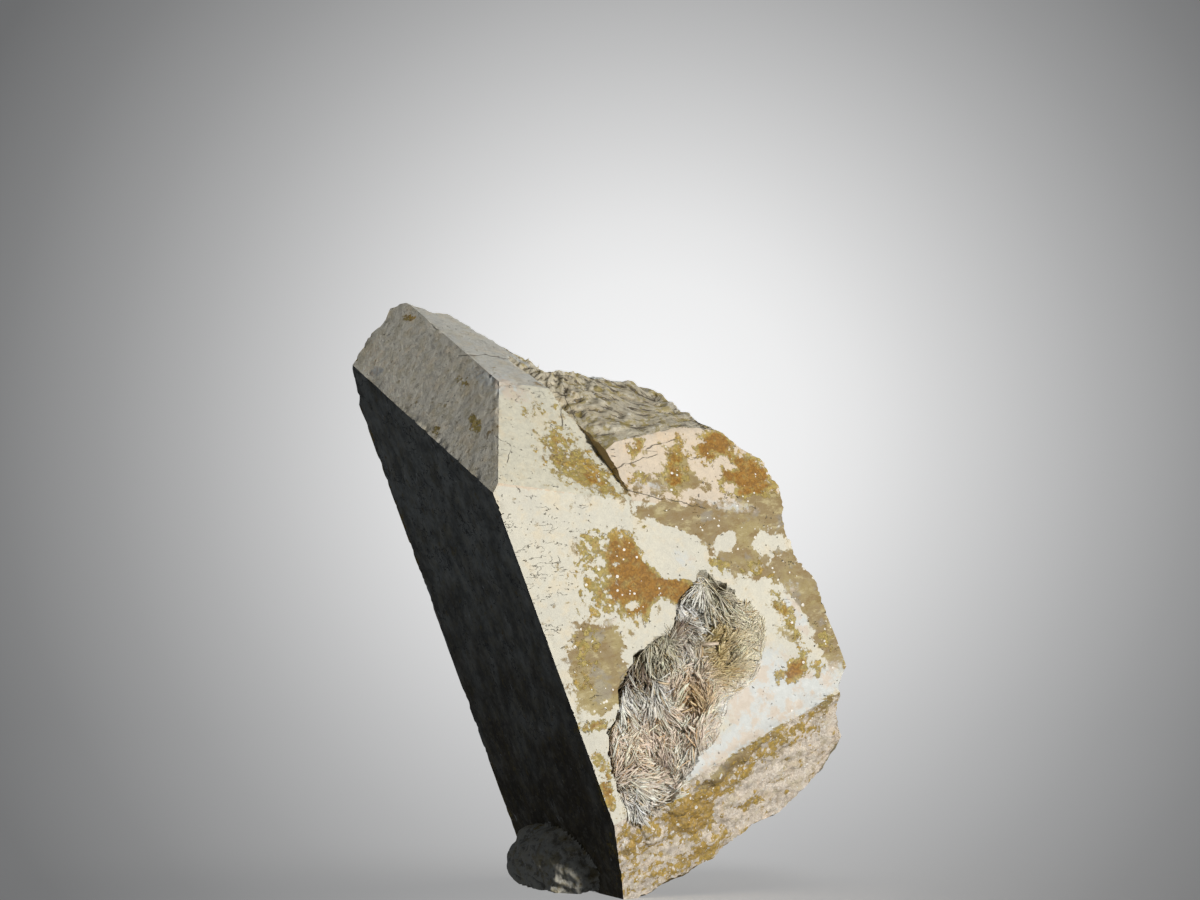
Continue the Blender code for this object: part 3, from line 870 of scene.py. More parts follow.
# ---------------------------------------------------------------- pieces
def mesh_piece(name: str, points: Array, faces: Array,
               body: str = "root") -> bpy.types.Object:
    """Put points and faces into a mesh object that rides on a body.

    Args:
        name: Name of the piece.
        points: Places in millimetres from the datum, n by 3.
        faces: Corner numbers, m by 3 or m by 4.
        body: Body that the piece rides on.

    Returns:
        The object, at the origin.
    """
    mesh = bpy.data.meshes.new(name)
    corners = faces.shape[1]
    mesh.vertices.add(len(points))
    mesh.vertices.foreach_set("co", ((points + DATUM) * MM).ravel())
    mesh.loops.add(faces.size)
    mesh.loops.foreach_set("vertex_index", faces.ravel().astype(np.int32))
    mesh.polygons.add(len(faces))
    mesh.polygons.foreach_set(
        "loop_start", np.arange(0, faces.size, corners, dtype=np.int32))
    mesh.update(calc_edges=True)
    mesh.validate()
    piece = bpy.data.objects.new(name, mesh)
    bpy.context.scene.collection.objects.link(piece)
    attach(piece, body)
    return piece


def paint(piece: bpy.types.Object, name: str, values: Array,
          domain: str = "POINT") -> None:
    """Store four numbers for each point or face as a colour attribute."""
    layer = piece.data.attributes.new(name, "FLOAT_COLOR", domain)
    layer.data.foreach_set("color", values.astype(np.float32).ravel())


def outward(points: Array, faces: Array) -> Array:
    """Turn all faces over if the closed shell is inside out."""
    a, b, c = (points[faces[:, i]] for i in range(3))
    volume = (np.cross(a, b) * c).sum()
    return faces if volume > 0 else faces[:, ::-1]


def point_normals(points: Array, faces: Array) -> Array:
    """Unit normal at each point, weighted by the faces' areas."""
    a, b, c = (points[faces[:, i]] for i in range(3))
    area = np.cross(b - a, c - a)
    total = np.zeros_like(points)
    for i in range(3):
        for axis in range(3):
            total[:, axis] += np.bincount(faces[:, i], area[:, axis],
                                          len(points))
    return total / np.maximum(np.linalg.norm(total, axis=1), 1e-12)[:, None]


def even_out(values: Array, faces: Array, rounds: int) -> Array:
    """Average each point's value with its neighbours' a few times."""
    count = np.bincount(faces.ravel(), minlength=len(values)) * 2.0 + 1
    for _ in range(rounds):
        total = values.copy()
        ring = values[faces].sum(axis=1)
        for i in range(3):
            total += np.bincount(faces[:, i], ring - values[faces[:, i]],
                                 len(values))
        values = total / count
    return values


@dataclass
class Crystal:
    """Feldspar body: its skin, relief and weathering.

    Attributes:
        shape: Sheets of the crystal.
        weathering: Marks on its surface.
        grains: Large grains on the band, as x, z and radius.
        sharp: Angle between faces from which an edge is sharp, in degrees.
    """

    shape: CrystalShape = field(default_factory=CrystalShape)
    weathering: Weathering = field(default_factory=Weathering)
    grains: tuple[Triple, ...] = (
        (11.8, -53.3, 2.3), (17.5, -49.8, 1.5), (8.0, -58.5, 1.5),
        (22.0, -46.6, 1.2), (14.0, -57.4, 1.0), (4.4, -60.2, 1.1))
    sharp: float = 32.0

    def __post_init__(self) -> None:
        """Find the hollow on the front face."""
        self.hollow = Hollow.of(self.shape)

    def ground(self) -> dict[Zone, Triple]:
        """Plain colour of each zone, before weathering."""
        return {
            # LEFT is darker than the other cream faces: partly its own grey,
            # partly painted shade.
            Zone.LEFT: (0.42, 0.425, 0.385), Zone.FRONT: (0.75, 0.71, 0.585),
            Zone.UPPER: (0.72, 0.685, 0.55), Zone.TOP: (0.61, 0.60, 0.54),
            Zone.CAP: (0.92, 0.87, 0.74), Zone.BACK: (0.62, 0.57, 0.46),
            Zone.RIGHT: (0.60, 0.53, 0.42), Zone.SHELF: (0.50, 0.43, 0.31),
            Zone.STEP: (0.55, 0.47, 0.34), Zone.LEDGE: (0.76, 0.64, 0.49),
            Zone.BAND: (0.86, 0.76, 0.64), Zone.WALL: (0.42, 0.30, 0.13),
            Zone.FOOT: (0.42, 0.37, 0.29), Zone.CRACK: (0.40, 0.32, 0.2),
            Zone.ROUGH: (0.66, 0.59, 0.44), Zone.SIDE: (0.45, 0.38, 0.27),
            Zone.KNOB: (0.74, 0.72, 0.63), Zone.TIP: (0.54, 0.475, 0.34)}

    def strands(self, points: Array) -> Array:
        """Which leaf of the broken top a place lies on, in millimetres.

        Formula: height over a line that climbs to the right, stretched
        where that line nears the falling crest, and led astray by noise.
        """
        low = 1.0 + 0.246 * (points[:, 0] - 0.6)
        crest = 12.0 - 0.349 * (points[:, 0] + 6.4)
        across = (points[:, 2] - low) * 8.5 / np.clip(crest - low, 4.0, 14.0)
        return across + Texture(2).smooth(points * 0.16) * 1.6

    def broken_top(self, points: Array) -> Array:
        """Height of the broken top.

        Formula: two sets of long leaves, each the size of noise that is
        stretched along them, so that narrow grooves part rounded backs;
        crumbly grain takes over towards the left.
        """
        lay = np.stack([self.strands(points) * 0.50, points[:, 0] * 0.095,
                        points[:, 1] * 0.1], 1)
        leaf = np.abs(Texture(3).layered(lay, 3))
        thin = np.abs(Texture(13).layered(lay * 2.3, 2))
        crumb = Texture(12).layered(points * 0.9, 4)
        crumbly = ease(5.0, -3.0, points[:, 0] + 5.0
                       * Texture(15).smooth(points * 0.2))
        return ((leaf - 0.27) * 1.9 * (1.0 - 0.75 * crumbly)
                + (thin - 0.2) * 0.9 * (1.0 - 0.6 * crumbly)
                + crumb * (0.25 + 0.75 * crumbly))

    def relief(self, points: Array, zone: Array) -> Array:
        """Height of the surface's own relief.

        Formula: on the broken top, leaves and crumbs; on the band, the
        crowns of large and small scattered cells; on the sides, layered
        noise; on the lump, fibres that run down it; on the flat faces
        almost nothing.
        """
        near = Texture(1)
        fine = near.layered(points * 0.9, 4)
        broad = near.layered(points * 0.25, 3)
        height = 0.07 * fine + 0.05 * broad
        cell, owner = Texture(5).cells(points * 0.62)
        crowns = np.sqrt(np.maximum(1 - (cell * 1.5) ** 2, 0)) * (
            owner > 0.45) * (0.2 + 0.4 * owner)
        small, _ = Texture(6).cells(points * 1.4)
        beads = np.sqrt(np.maximum(1 - (small * 1.6) ** 2, 0)) * 0.22
        layers = Texture(7).layered(points * 0.2, 5)
        chips = np.abs(Texture(8).layered(points * 0.45, 4))
        strand = np.array([0.50, -0.73, -0.47])
        out = self.shape.plane(Zone.LEFT)[0]
        fibre = Texture(9).layered(np.stack(
            [points @ np.cross(out, strand) * 1.6, points @ out * 0.8,
             points @ strand * 0.2], 1), 3)
        parts = {
            Zone.ROUGH: self.broken_top(points), Zone.CRACK: 0.2 * fine,
            Zone.BAND: crowns * 0.75 + beads + broad * 0.5 - 0.25,
            Zone.SIDE: layers * 1.7 - chips * 0.9 + fine * 0.3,
            Zone.SHELF: fine * 0.4 + broad * 0.5, Zone.STEP: fine * 0.3,
            Zone.KNOB: layers * 1.6 + fibre * 1.1 + fine * 0.15,
            Zone.FOOT: 0.03 * fine}
        for part, value in parts.items():
            height = np.where(zone == part, value, height)
        return height

    def refine(self, points: Array, zone: Array) -> Array:
        """Turn zones into the broken top where a flat face is broken off.

        Formula: the top face beyond its break, and the tip of the ledge
        above a line that climbs to the right.
        """
        broken = ((zone == Zone.TOP)
                  & (self.shape.past_break(points) > 0))
        line = 1.0 + 0.27 * (points[:, 0] - 1.0)
        line += Texture(16).smooth(points * 0.6) * 0.5
        tip = (zone == Zone.LEDGE) & (points[:, 2] > line)
        tip |= zone == Zone.TIP
        return np.where(broken | tip, Zone.ROUGH, zone)

    def grain_height(self, points: Array) -> Array:
        """Height of the large grains: a rounded cap over each."""
        total = np.zeros(len(points))
        for x, z, radius in self.grains:
            far = np.hypot(points[:, 0] - x, points[:, 2] - z)
            cap = np.sqrt(np.maximum(1 - (far / radius) ** 2, 0))
            total = np.maximum(total, cap * radius * 0.45)
        return total

    def build(self) -> bpy.types.Object:
        """Skin of the crystal with its relief, hollow and attributes."""
        points, faces = RayGrid(self.shape).build()
        faces = outward(points, faces)
        zone = self.refine(points, self.shape.zone_of(points))
        normal = point_normals(points, faces)
        height = even_out(self.relief(points, zone), faces, 1)
        edge = self.edge_wear(points, zone, faces)
        band = zone == Zone.BAND
        height += np.where(band, self.grain_height(points), 0)
        on_foot = points[:, 2] < -DATUM[2] + 0.02
        flat = self.hollow.flat(points)
        sink = np.where((np.abs(flat[:, 2]) < 0.6) & (
            points[:, 1] < 30), self.hollow.sink(flat[:, 0], flat[:, 1]), 0)
        height -= edge
        moved = points + normal * np.where(on_foot, 0, height)[:, None]
        moved -= np.outer(sink, self.hollow.normal)
        moved[:, 2] = np.maximum(moved[:, 2], -DATUM[2])
        piece = mesh_piece("feldspar_body", moved, faces)
        # Height over the surroundings: sets painted shade in hollows and
        # painted highlight on crests.
        cavity = (height - even_out(height, faces, 10)) * 2.5
        # Depth of the hollow's steep wall, which sets the wall's painted
        # shade.
        wall = sink * (1 - self.hollow.gentle(flat[:, 0], flat[:, 1]))
        self.dress(piece, points, faces, normal, wall, cavity)
        return piece

    def edge_wear(self, points: Array, zone: Array, faces: Array) -> Array:
        """Depth worn off where two flat faces meet.

        Formula: how mixed the zones are around a point, spread over a few
        neighbours, times noise that leaves some stretches sharp.
        """
        mixed = np.zeros(len(points))
        differ = (zone[faces] != zone[faces[:, :1]]).any(axis=1)
        for i in range(3):
            mixed = np.maximum(mixed, np.bincount(
                faces[:, i], differ.astype(float), len(points)) > 0)
        spread = even_out(mixed, faces, 2)
        chips = ease(0.0, 0.45, Texture(17).layered(points * 0.45, 4))
        return spread * (0.04 + 0.3 * chips)

    def dress(self, piece: bpy.types.Object, points: Array, faces: Array,
              normal: Array, wall: Array, cavity: Array) -> None:
        """Paint ground, grit, marks and cuts, and set the edges sharp.

        The ground's fourth number is 1 on the grainy band.  Grit is
        followed by 1 on the lump and 1 on the dark left face, which gets
        painted shade; the marks by the depth of the hollow's wall, which sets
        its painted shade; the cuts by the height over the surroundings, which
        sets painted shade in hollows and painted highlight on crests, and by
        the leaf of the broken top.

        Args:
            piece: Crystal's object.
            points: Places before the relief, n by 3.
            faces: Triangles.
            normal: Unit normal at each point.
            wall: Depth of the hollow's wall.
            cavity: Height over the surroundings.
        """
        middle = points[faces].mean(axis=1)
        zone = self.refine(middle, self.shape.zone_of(middle))
        table = self.ground()
        colours = np.array([table[z] for z in Zone])
        tone = np.where(zone == Zone.CAP,
                        1.16 - 0.014 * (middle[:, 0] + 34), 1.0)
        band = zone == Zone.BAND
        ground = np.column_stack([colours[zone] * tone[:, None], band])
        gritty = {Zone.ROUGH: 1.0, Zone.SIDE: 0.8, Zone.BAND: 0.7,
                  Zone.SHELF: 0.7, Zone.STEP: 0.5, Zone.KNOB: 0.6,
                  Zone.FOOT: 0.3, Zone.CRACK: 0.6, Zone.CAP: 0.32,
                  Zone.TOP: 0.18, Zone.LEFT: 0.22}
        grit = np.array([gritty.get(z, 0.0) for z in Zone])[zone]
        paint(piece, "ground", ground, "FACE")
        paint(piece, "grit", np.column_stack([
            grit, zone == Zone.KNOB, zone == Zone.LEFT, grit * 0 + 1]), "FACE")
        facing = -normal[:, 1]
        kinds = [self.weathering.layer(p, points, facing) for p in (
            self.weathering.stain, self.weathering.olive,
            self.weathering.milk)]
        kinds[2] = np.where(self.shape.zone_of(points) == Zone.BAND,
                            -0.4, kinds[2])
        paint(piece, "marks", np.column_stack(kinds + [wall]))
        off, near = self.weathering.cuts(points, facing)
        paint(piece, "cuts", np.column_stack(
            [off, near, cavity, self.strands(points)]))
        piece.data.shade_smooth()
        piece.data.set_sharp_from_angle(angle=math.radians(self.sharp))
        piece.data.materials.append(FeldsparFinish().material())
        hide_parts("orthoclase_crystal")


class Tone(Enum):
    """Plain colours of the blades."""

    # Painted shade: dark brown where the crust lies in shadow.
    DARK = (0.20, 0.15, 0.10)
    RUST = (0.54, 0.39, 0.20)
    OLIVE = (0.48, 0.45, 0.34)
    STRAW = (0.50, 0.39, 0.18)
    DUN = (0.65, 0.59, 0.44)
    SAND = (0.80, 0.66, 0.53)
    GREY = (0.68, 0.66, 0.60)
    PALE = (0.77, 0.71, 0.62)


@dataclass(frozen=True)
class Clump:
    """Neighbourhood of the crust with a colour and a lie of its own.

    Attributes:
        u: Its middle, up the face.
        v: Its middle, across the face.
        size: How far it reaches.
        tone: Plain colour of its blades.
        lie: Heading of its blades seen from the front, in degrees from
            level, turning left.
    """

    u: float
    v: float
    size: float
    tone: Tone
    lie: float = 45.0

    def weight(self, u: Array, v: Array) -> Array:
        """How much the clump counts at places: more beside a small one."""
        far = (u - self.u) ** 2 + (v - self.v) ** 2
        return np.exp(-1.6 * far / self.size ** 2) * (4.5 / self.size) ** 2


@dataclass(frozen=True)
class Cut:
    """Section of one kind of blade and how much it varies.

    Attributes:
        piece: Name of the piece that they make.
        section: Corners, as shares of the half width and thickness.
        lanes: Where each corner lies among the streaks.
        width: Least and greatest half width.
        bold: Share of the blades that are twice as wide.
        flat: Thickness over width.
        roll: Spread of the turn about a blade's length, in radians.
    """

    piece: str
    section: tuple[tuple[float, float], ...]
    lanes: tuple[float, ...]
    width: tuple[float, float]
    bold: float
    flat: float
    roll: float


class Bar(Enum):
    """Kinds of blade: flat plumes and fine needles."""

    PLUME = Cut("crust_plumes", ((-1, -1), (1, -1), (1, 1), (-1, 1)),
                (0.0, 1.0, 1.0, 0.0), (0.06, 0.14), 0.08, 0.22, 0.35)
    NEEDLE = Cut("crust_needles", ((-1, -0.6), (1, -0.6), (0, 1.1)),
                 (0.0, 0.6, 0.3), (0.045, 0.09), 0.0, 0.75, 0.8)


@dataclass(frozen=True)
class Blades:
    """Many blades, each attribute with one number for each.

    Attributes:
        u: Feet, up the face.
        v: Feet, across the face.
        out: Feet, out of the face.
        turn: Headings in the face, in radians from up.
        lift: Rises out of the face, in radians.
        size: Lengths.
        tone: Brightness, as a factor.
    """

    u: Array
    v: Array
    out: Array
    turn: Array
    lift: Array
    size: Array
    tone: Array

    def chosen(self, pick: Array) -> "Blades":
        """Some of the blades."""
        return Blades(*(getattr(self, f.name)[pick] for f in fields(self)))


@dataclass
class Crust:
    """Bladed crust in the hollow: a bed, plumes and needles.

    Attributes:
        hollow: Hollow that it lines.
        fans: Number of sheaves.
        plumes: Flat striated blades in each sheaf.
        needles: Fine needles in each sheaf.
        ball: Middle of the round tuft at the top, up and across.
        tuft: Radius of that tuft.
        seed: Start of the random numbers.
        splay: Spread of the sheaves' headings and of the blades' within a
            sheaf, in radians.
        stray: Share of the blades that lie any way.
        scatter: Spread of the feet within a sheaf.
        length: Least and greatest length in a sheaf.
        cover: How far out of the face a blade may end.
        rings: Place along a blade and width of its four sections.
        slant: How far its tip is cut askew, in half widths.
        clumps: Neighbourhoods of different colour and lie.
    """

    hollow: Hollow
    fans: int = 760
    plumes: int = 8
    needles: int = 13
    ball: tuple[float, float] = (-27.0, -28.3)
    tuft: float = 3.9
    seed: int = 5
    splay: tuple[float, float] = (0.34, 0.15)
    stray: float = 0.06
    scatter: float = 0.6
    length: tuple[float, float] = (2.1, 4.5)
    cover: float = 0.5
    rings: tuple[tuple[float, float], ...] = (
        (0.0, 0.75), (0.5, 1.0), (0.86, 0.9), (1.0, 0.3))
    slant: float = 0.8
    clumps: tuple[Clump, ...] = (
        Clump(-25.3, -26.2, 2.4, Tone.GREY, 20),
        Clump(-27.1, -28.6, 1.3, Tone.OLIVE, 90),
        Clump(-29.0, -30.5, 2.4, Tone.DUN, -30),
        Clump(-32.4, -29.8, 2.2, Tone.DUN, 20),
        Clump(-34.8, -31.7, 3.0, Tone.DUN, 70),
        Clump(-34.8, -26.4, 3.4, Tone.STRAW, 60),
        Clump(-38.3, -29.3, 2.6, Tone.DUN, 80),
        Clump(-39.5, -25.9, 3.0, Tone.STRAW, 75),
        Clump(-30.0, -22.9, 2.4, Tone.GREY, -30),
        # Painted shade where the crust lies in shadow.
        Clump(-31.5, -20.5, 1.3, Tone.DARK, 60),
        Clump(-32.2, -16.2, 3.0, Tone.OLIVE, -35),
        # Painted shade where the crust lies in shadow.
        Clump(-34.9, -13.2, 1.3, Tone.DARK, -60),
        Clump(-38.1, -11.9, 3.2, Tone.GREY, -75),
        Clump(-34.7, -21.4, 2.4, Tone.PALE, -70),
        Clump(-39.7, -18.9, 3.6, Tone.SAND, 50),
        Clump(-42.7, -19.3, 2.0, Tone.RUST, 75),
        Clump(-44.6, -13.0, 4.4, Tone.SAND, 15),
        Clump(-42.3, -9.5, 3.2, Tone.SAND, -60),
        Clump(-47.3, -16.4, 4.0, Tone.SAND, 45),
        Clump(-48.5, -6.7, 3.4, Tone.SAND, 35),
        Clump(-53.4, -5.2, 2.8, Tone.GREY, -42),
        Clump(-52.2, -10.0, 3.4, Tone.SAND, 60),
        Clump(-52.2, -14.4, 3.4, Tone.PALE, 55),
        Clump(-46.9, -21.9, 3.4, Tone.PALE, 60),
        Clump(-43.1, -27.0, 3.4, Tone.PALE, 75))

    def bed(self) -> bpy.types.Object:
        """Closed lens that fills the bottom of the hollow.

        Formula: on a polar grid inside the rim, a top that follows the
        hollow's floor with small lumps, over a bottom a little lower; the
        two meet at the outer ring.
        """
        turns, rings = 144, 44
        u, v, ring = self.grid(turns, rings)
        floor = -self.hollow.sink(u, v) + self.hollow.gap
        thick = np.clip((1 - ring) * 7, 0, 1) * self.mound(u, v)
        top = np.minimum(floor + thick, -0.15)
        top = np.maximum(top, floor + 0.02)
        points = np.vstack([self.hollow.place(u, v, top),
                            self.hollow.place(u, v, floor - 0.05)])
        index = np.arange(turns * rings).reshape(rings, turns)
        near = np.roll(index, -1, axis=1)
        upper = np.stack([index[:-1], index[1:], near[1:], near[:-1]],
                         axis=2).reshape(-1, 4)
        down = turns * rings
        edge = np.stack([index[-1], index[-1] + down, near[-1] + down,
                         near[-1]], axis=1)
        faces = np.vstack([upper, upper[:, ::-1] + down, edge])
        faces = np.vstack([faces[:, (0, 1, 2)], faces[:, (0, 2, 3)]])
        hub = np.vstack([points[index[0]].mean(axis=0),
                         points[index[0] + down].mean(axis=0)])
        top_hub = np.full(turns, len(points))
        caps = [np.stack([top_hub, index[0], near[0]], 1),
                np.stack([top_hub + 1, near[0] + down, index[0] + down], 1)]
        points = np.vstack([points, hub])
        faces = outward(points, np.vstack([faces] + caps))
        piece = mesh_piece("crust_bed", points, faces)
        flat = self.hollow.flat(points)
        tint = self.tint(flat[:, 0], flat[:, 1]) * 1.12
        paint(piece, "tint", np.column_stack([tint, np.zeros(len(points))]))
        piece.data.shade_smooth()
        return piece

    def mound(self, u: Array, v: Array) -> Array:
        """Thickness of the bed: lumps, and a dome under the round tuft."""
        place = on_plane(u, v)
        off = np.hypot(u - self.ball[0], v - self.ball[1])
        return np.clip(1.9 + 2.2 * Texture(31).layered(place * 0.34, 4)
                       + 0.6 * Texture(32).smooth(place * 1.1)
                       + 1.6 * np.exp(-(off / 3.0) ** 2), 0.3, 4.0)

    def grid(self, turns: int, rings: int) -> tuple[Array, Array, Array]:
        """Grid inside the rim: distance up, across, and share of the way.

        Formula: along each turn about the middle, the rim's own distance
        less a millimetre, times the share of the way out.
        """
        middle = self.hollow.middle
        _, angle, far = polar(np.array(self.hollow.outline), middle, 30)
        turn = np.linspace(-math.pi, math.pi, turns, endpoint=False)
        reach = np.interp(turn, angle, far, period=2 * math.pi) - 1.0
        ring = np.linspace(0.02, 1, rings)[:, None] * np.ones(turns)
        u = middle[0] + ring * reach * np.cos(turn)
        v = middle[1] + ring * reach * np.sin(turn)
        return u.ravel(), v.ravel(), ring.ravel()

    def tint(self, u: Array, v: Array) -> Array:
        """Colour of the crust at places on the face, n by 3.

        Formula: the clumps' colours, each by its weight there.
        """
        weight = self.weights(u, v)
        colours = np.array([c.tone.value for c in self.clumps])
        return weight @ colours / weight.sum(axis=1)[:, None]

    def weights(self, u: Array, v: Array) -> Array:
        """Weight of every clump at places on the face, never quite 0."""
        return np.stack([c.weight(u, v) for c in self.clumps], axis=1) + 1e-6

    def heading(self, u: Array, v: Array) -> Array:
        """Heading of the blades in the face, in radians from up.

        Formula: the clumps' headings added as vectors by weight, turned by
        smooth noise; round the tuft's middle, outward with a swirl.
        """
        lie = np.radians([c.lie for c in self.clumps])
        ways = np.stack([-0.37 * np.cos(lie) + 0.93 * np.sin(lie),
                         -0.93 * np.cos(lie) - 0.36 * np.sin(lie)], axis=1)
        way = self.weights(u, v) @ ways
        wander = Texture(41).smooth(on_plane(u, v) * 0.24)
        turn = np.arctan2(way[:, 1], way[:, 0]) + wander * 1.3
        away_u, away_v = u - self.ball[0], v - self.ball[1]
        swirl = np.arctan2(away_v, away_u) + 0.8
        return np.where(np.hypot(away_u, away_v) < self.tuft, swirl, turn)

    def sheaves(self, rng: np.random.Generator
                ) -> tuple[Array, Array, Array]:
        """Foot of each sheaf, up and across the face, and its heading."""
        count = self.fans * 12
        u, v = rng.uniform(-58, -23, count), rng.uniform(-36, -1, count)
        inside = self.hollow.inside(u, v)
        beyond = self.hollow.gentle(u, v) * 3.0
        keep = np.flatnonzero(inside > 0.25 - beyond)[:self.fans]
        u, v = u[keep], v[keep]
        wide = rng.normal(0, self.splay[0], len(u))
        return u, v, self.heading(u, v) + wide

    def blades(self, rng: np.random.Generator) -> tuple[Blades, Array]:
        """Every blade that has room, and whether it is a plume.

        Formula: a sheaf has a foot on the bed and a heading; its blades
        fan out a little on both sides of it and rise from the bed.  Near
        the rim they lie flat.  They end inside the rim, except where noise
        lets some pass over it.
        """
        foot_u, foot_v, heading = self.sheaves(rng)
        sheaves, each = len(foot_u), self.plumes + self.needles
        n = sheaves * each
        broad = np.tile(np.arange(each) < self.plumes, sheaves)
        turn = np.repeat(heading, each) + rng.normal(0, self.splay[1], n)
        turn += np.where(rng.uniform(0, 1, n) < self.stray,
                         rng.normal(0, 1.0, n), 0)
        lift = np.repeat(rng.normal(0.11, 0.11, sheaves), each)
        lift = np.clip(lift + rng.normal(0, 0.07, n) + np.where(
            broad, 0, rng.uniform(0, 0.2, n)), 0.0, 0.9)
        u = np.repeat(foot_u, each) + rng.normal(0, self.scatter, n)
        v = np.repeat(foot_v, each) + rng.normal(0, self.scatter, n)
        room, gentle = self.hollow.inside(u, v), self.hollow.gentle(u, v)
        size = np.repeat(rng.uniform(*self.length, sheaves), each)
        size *= rng.uniform(0.55, 1.1, n) * np.where(broad, 0.9, 0.85)
        size *= 1 - 0.35 * gentle
        rise = np.repeat(rng.uniform(-0.25, 0.5, sheaves), each)
        out = -self.hollow.sink(u, v) + self.hollow.gap
        out += self.mound(u, v) * ease(0.0, 1.2, room)
        out = np.minimum(out, -0.1) + (
            rise + rng.uniform(-0.1, 0.4, n) + np.where(broad, 0, 0.15)
            ) * (1 - gentle * 0.6)
        flat = room < 0.6
        out = np.where(flat, rng.uniform(-0.1, 0.1, n),
                       np.minimum(out, 0.25))
        lift = np.where(flat, lift * 0.15, lift)
        lift = np.minimum(lift, np.arcsin(np.clip(
            (self.cover - out) / size, 0.0, 1)))
        tone = np.repeat(rng.normal(1.0, 0.12, sheaves), each)
        blades = Blades(u, v, out, turn, lift, size, tone)
        keep = self.has_room(blades, room, gentle)
        return blades.chosen(keep), broad[keep]

    def has_room(self, blades: Blades, room: Array, gentle: Array) -> Array:
        """Which blades stand and end where they may.

        Args:
            blades: Blades to look at.
            room: Distance of their feet inside the rim.
            gentle: 1 where the hollow runs out beside their feet.
        """
        level = np.cos(blades.lift) * blades.size
        end = self.hollow.inside(blades.u + np.cos(blades.turn) * level,
                                 blades.v + np.sin(blades.turn) * level)
        end_out = blades.out + np.sin(blades.lift) * blades.size
        over = Texture(43).smooth(on_plane(blades.u, blades.v) * 0.3) > 0.1
        over &= (end > -1.4) & (end_out > 0.05)
        beyond = gentle * 2.0
        return ((room > 0.15 - beyond) & ((end > -0.1 - beyond) | over)
                & (blades.out < 0.3))

    def grown(self) -> list[bpy.types.Object]:
        """All the blades, as a mesh of plumes and one of needles."""
        rng = np.random.default_rng(self.seed)
        blades, broad = self.blades(rng)
        pieces = []
        for kind in Bar:
            some = blades.chosen(broad == (kind is Bar.PLUME))
            points, faces, owner, lane = self.bars(rng, kind.value, some)
            piece = mesh_piece(kind.value.piece, points, faces)
            tint = self.shades(rng, some)[owner]
            paint(piece, "tint", np.column_stack([tint, lane]))
            pieces.append(piece)
        return pieces

    def shades(self, rng: np.random.Generator, blades: Blades) -> Array:
        """Colour of each blade: its clump's, some paler, some rusty."""
        tint = self.tint(blades.u, blades.v) * blades.tone[:, None]
        pale = rng.normal(1.2, 0.08, len(tint))[:, None]
        kind = rng.uniform(0, 1, len(tint))[:, None]
        pale = np.where(kind > 0.84, pale * 1.1, pale)
        tint = tint * pale + rng.normal(0, 0.012, tint.shape)
        tint = np.where(kind < 0.08, tint * (0.84, 0.70, 0.50), tint)
        return np.clip(tint, 0.02, 0.92)

    def bars(self, rng: np.random.Generator, cut: Cut, blades: Blades
             ) -> tuple[Array, Array, Array, Array]:
        """Bent thin bars with slanted tips.

        Formula: the section is carried along a bowed line through four
        rings, the last one narrow and cut askew.

        Args:
            rng: Source of random numbers.
            cut: Their section.
            blades: Where they stand and how they lie.

        Returns:
            Points, triangles, each point's bar, and its streak's lane.
        """
        n, size, normal = len(blades.u), blades.size, self.hollow.normal
        level = (np.cos(blades.turn)[:, None] * self.hollow.up
                 + np.sin(blades.turn)[:, None] * self.hollow.across())
        along = (np.cos(blades.lift)[:, None] * level
                 + np.sin(blades.lift)[:, None] * normal)
        side = np.cross(along, normal)
        side /= np.linalg.norm(side, axis=1)[:, None]
        back = np.cross(side, along)
        roll = rng.normal(0, cut.roll, n)[:, None]
        wide = side * np.cos(roll) + back * np.sin(roll)
        thin = back * np.cos(roll) - side * np.sin(roll)
        half = rng.uniform(*cut.width, n)
        if cut.bold:
            half = np.where(rng.uniform(0, 1, n) < cut.bold, half * 2, half)
        half = (half * (0.4 + size / 4))[:, None]
        bend = rng.normal(0, 0.12, n)[:, None] * size[:, None]
        foot = self.hollow.place(blades.u, blades.v, blades.out)
        points = []
        for at, width in self.rings:
            middle = (foot + along * (size * at)[:, None]
                      + wide * bend * (at * at - at) * 2)
            for i, j in cut.section:
                slant = along * half * (self.slant * i if at == 1 else 0)
                points.append(middle + wide * half * width * i
                              + thin * (half * cut.flat) * j
                              * min(width * 1.3, 1) + slant)
        corners = len(points)
        faces = (self.skin(len(cut.section))[None]
                 + np.arange(n)[:, None, None] * corners)
        owner = np.repeat(np.arange(n), corners)
        lane = (np.tile(cut.lanes, len(self.rings) * n)
                + rng.uniform(0, 90, n)[owner])
        return (np.stack(points, axis=1).reshape(-1, 3),
                faces.reshape(-1, 3), owner, lane)

    def skin(self, s: int) -> Array:
        """Triangles of one bar whose sections have s corners."""
        last = len(self.rings) - 1
        quads = [(s * r + i, s * r + (i + 1) % s,
                  s * r + s + (i + 1) % s, s * r + s + i)
                 for r in range(last) for i in range(s)]
        faces = [(a, b, c) for a, b, c, _ in quads]
        faces += [(a, c, d) for a, _, c, d in quads]
        faces += [(0, i + 1, i) for i in range(1, s - 1)]
        faces += [(last * s, last * s + i, last * s + i + 1)
                  for i in range(1, s - 1)]
        return np.array(faces)

    def build(self) -> list[bpy.types.Object]:
        """Make the bed and the blades and dress them."""
        finish = BladeFinish().material()
        pieces = [self.bed(), *self.grown()]
        for piece in pieces:
            piece.data.materials.append(finish)
            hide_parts("blade_crust")
        return pieces


# --------------------------------------------------------------- finishes
def infix(kind: str, turned: bool = False) -> Callable:
    """Operator of a Term that adds an arithmetic node.

    Args:
        kind: Name of the arithmetic.
        turned: Whether the other operand comes first.

    Returns:
        The operator.
    """
    def apply(self: "Term", other: object) -> "Term":
        """Join both operands to one new node."""
        pair = (other, self) if turned else (self, other)
        return self.graph.math(kind, *pair)
    return apply


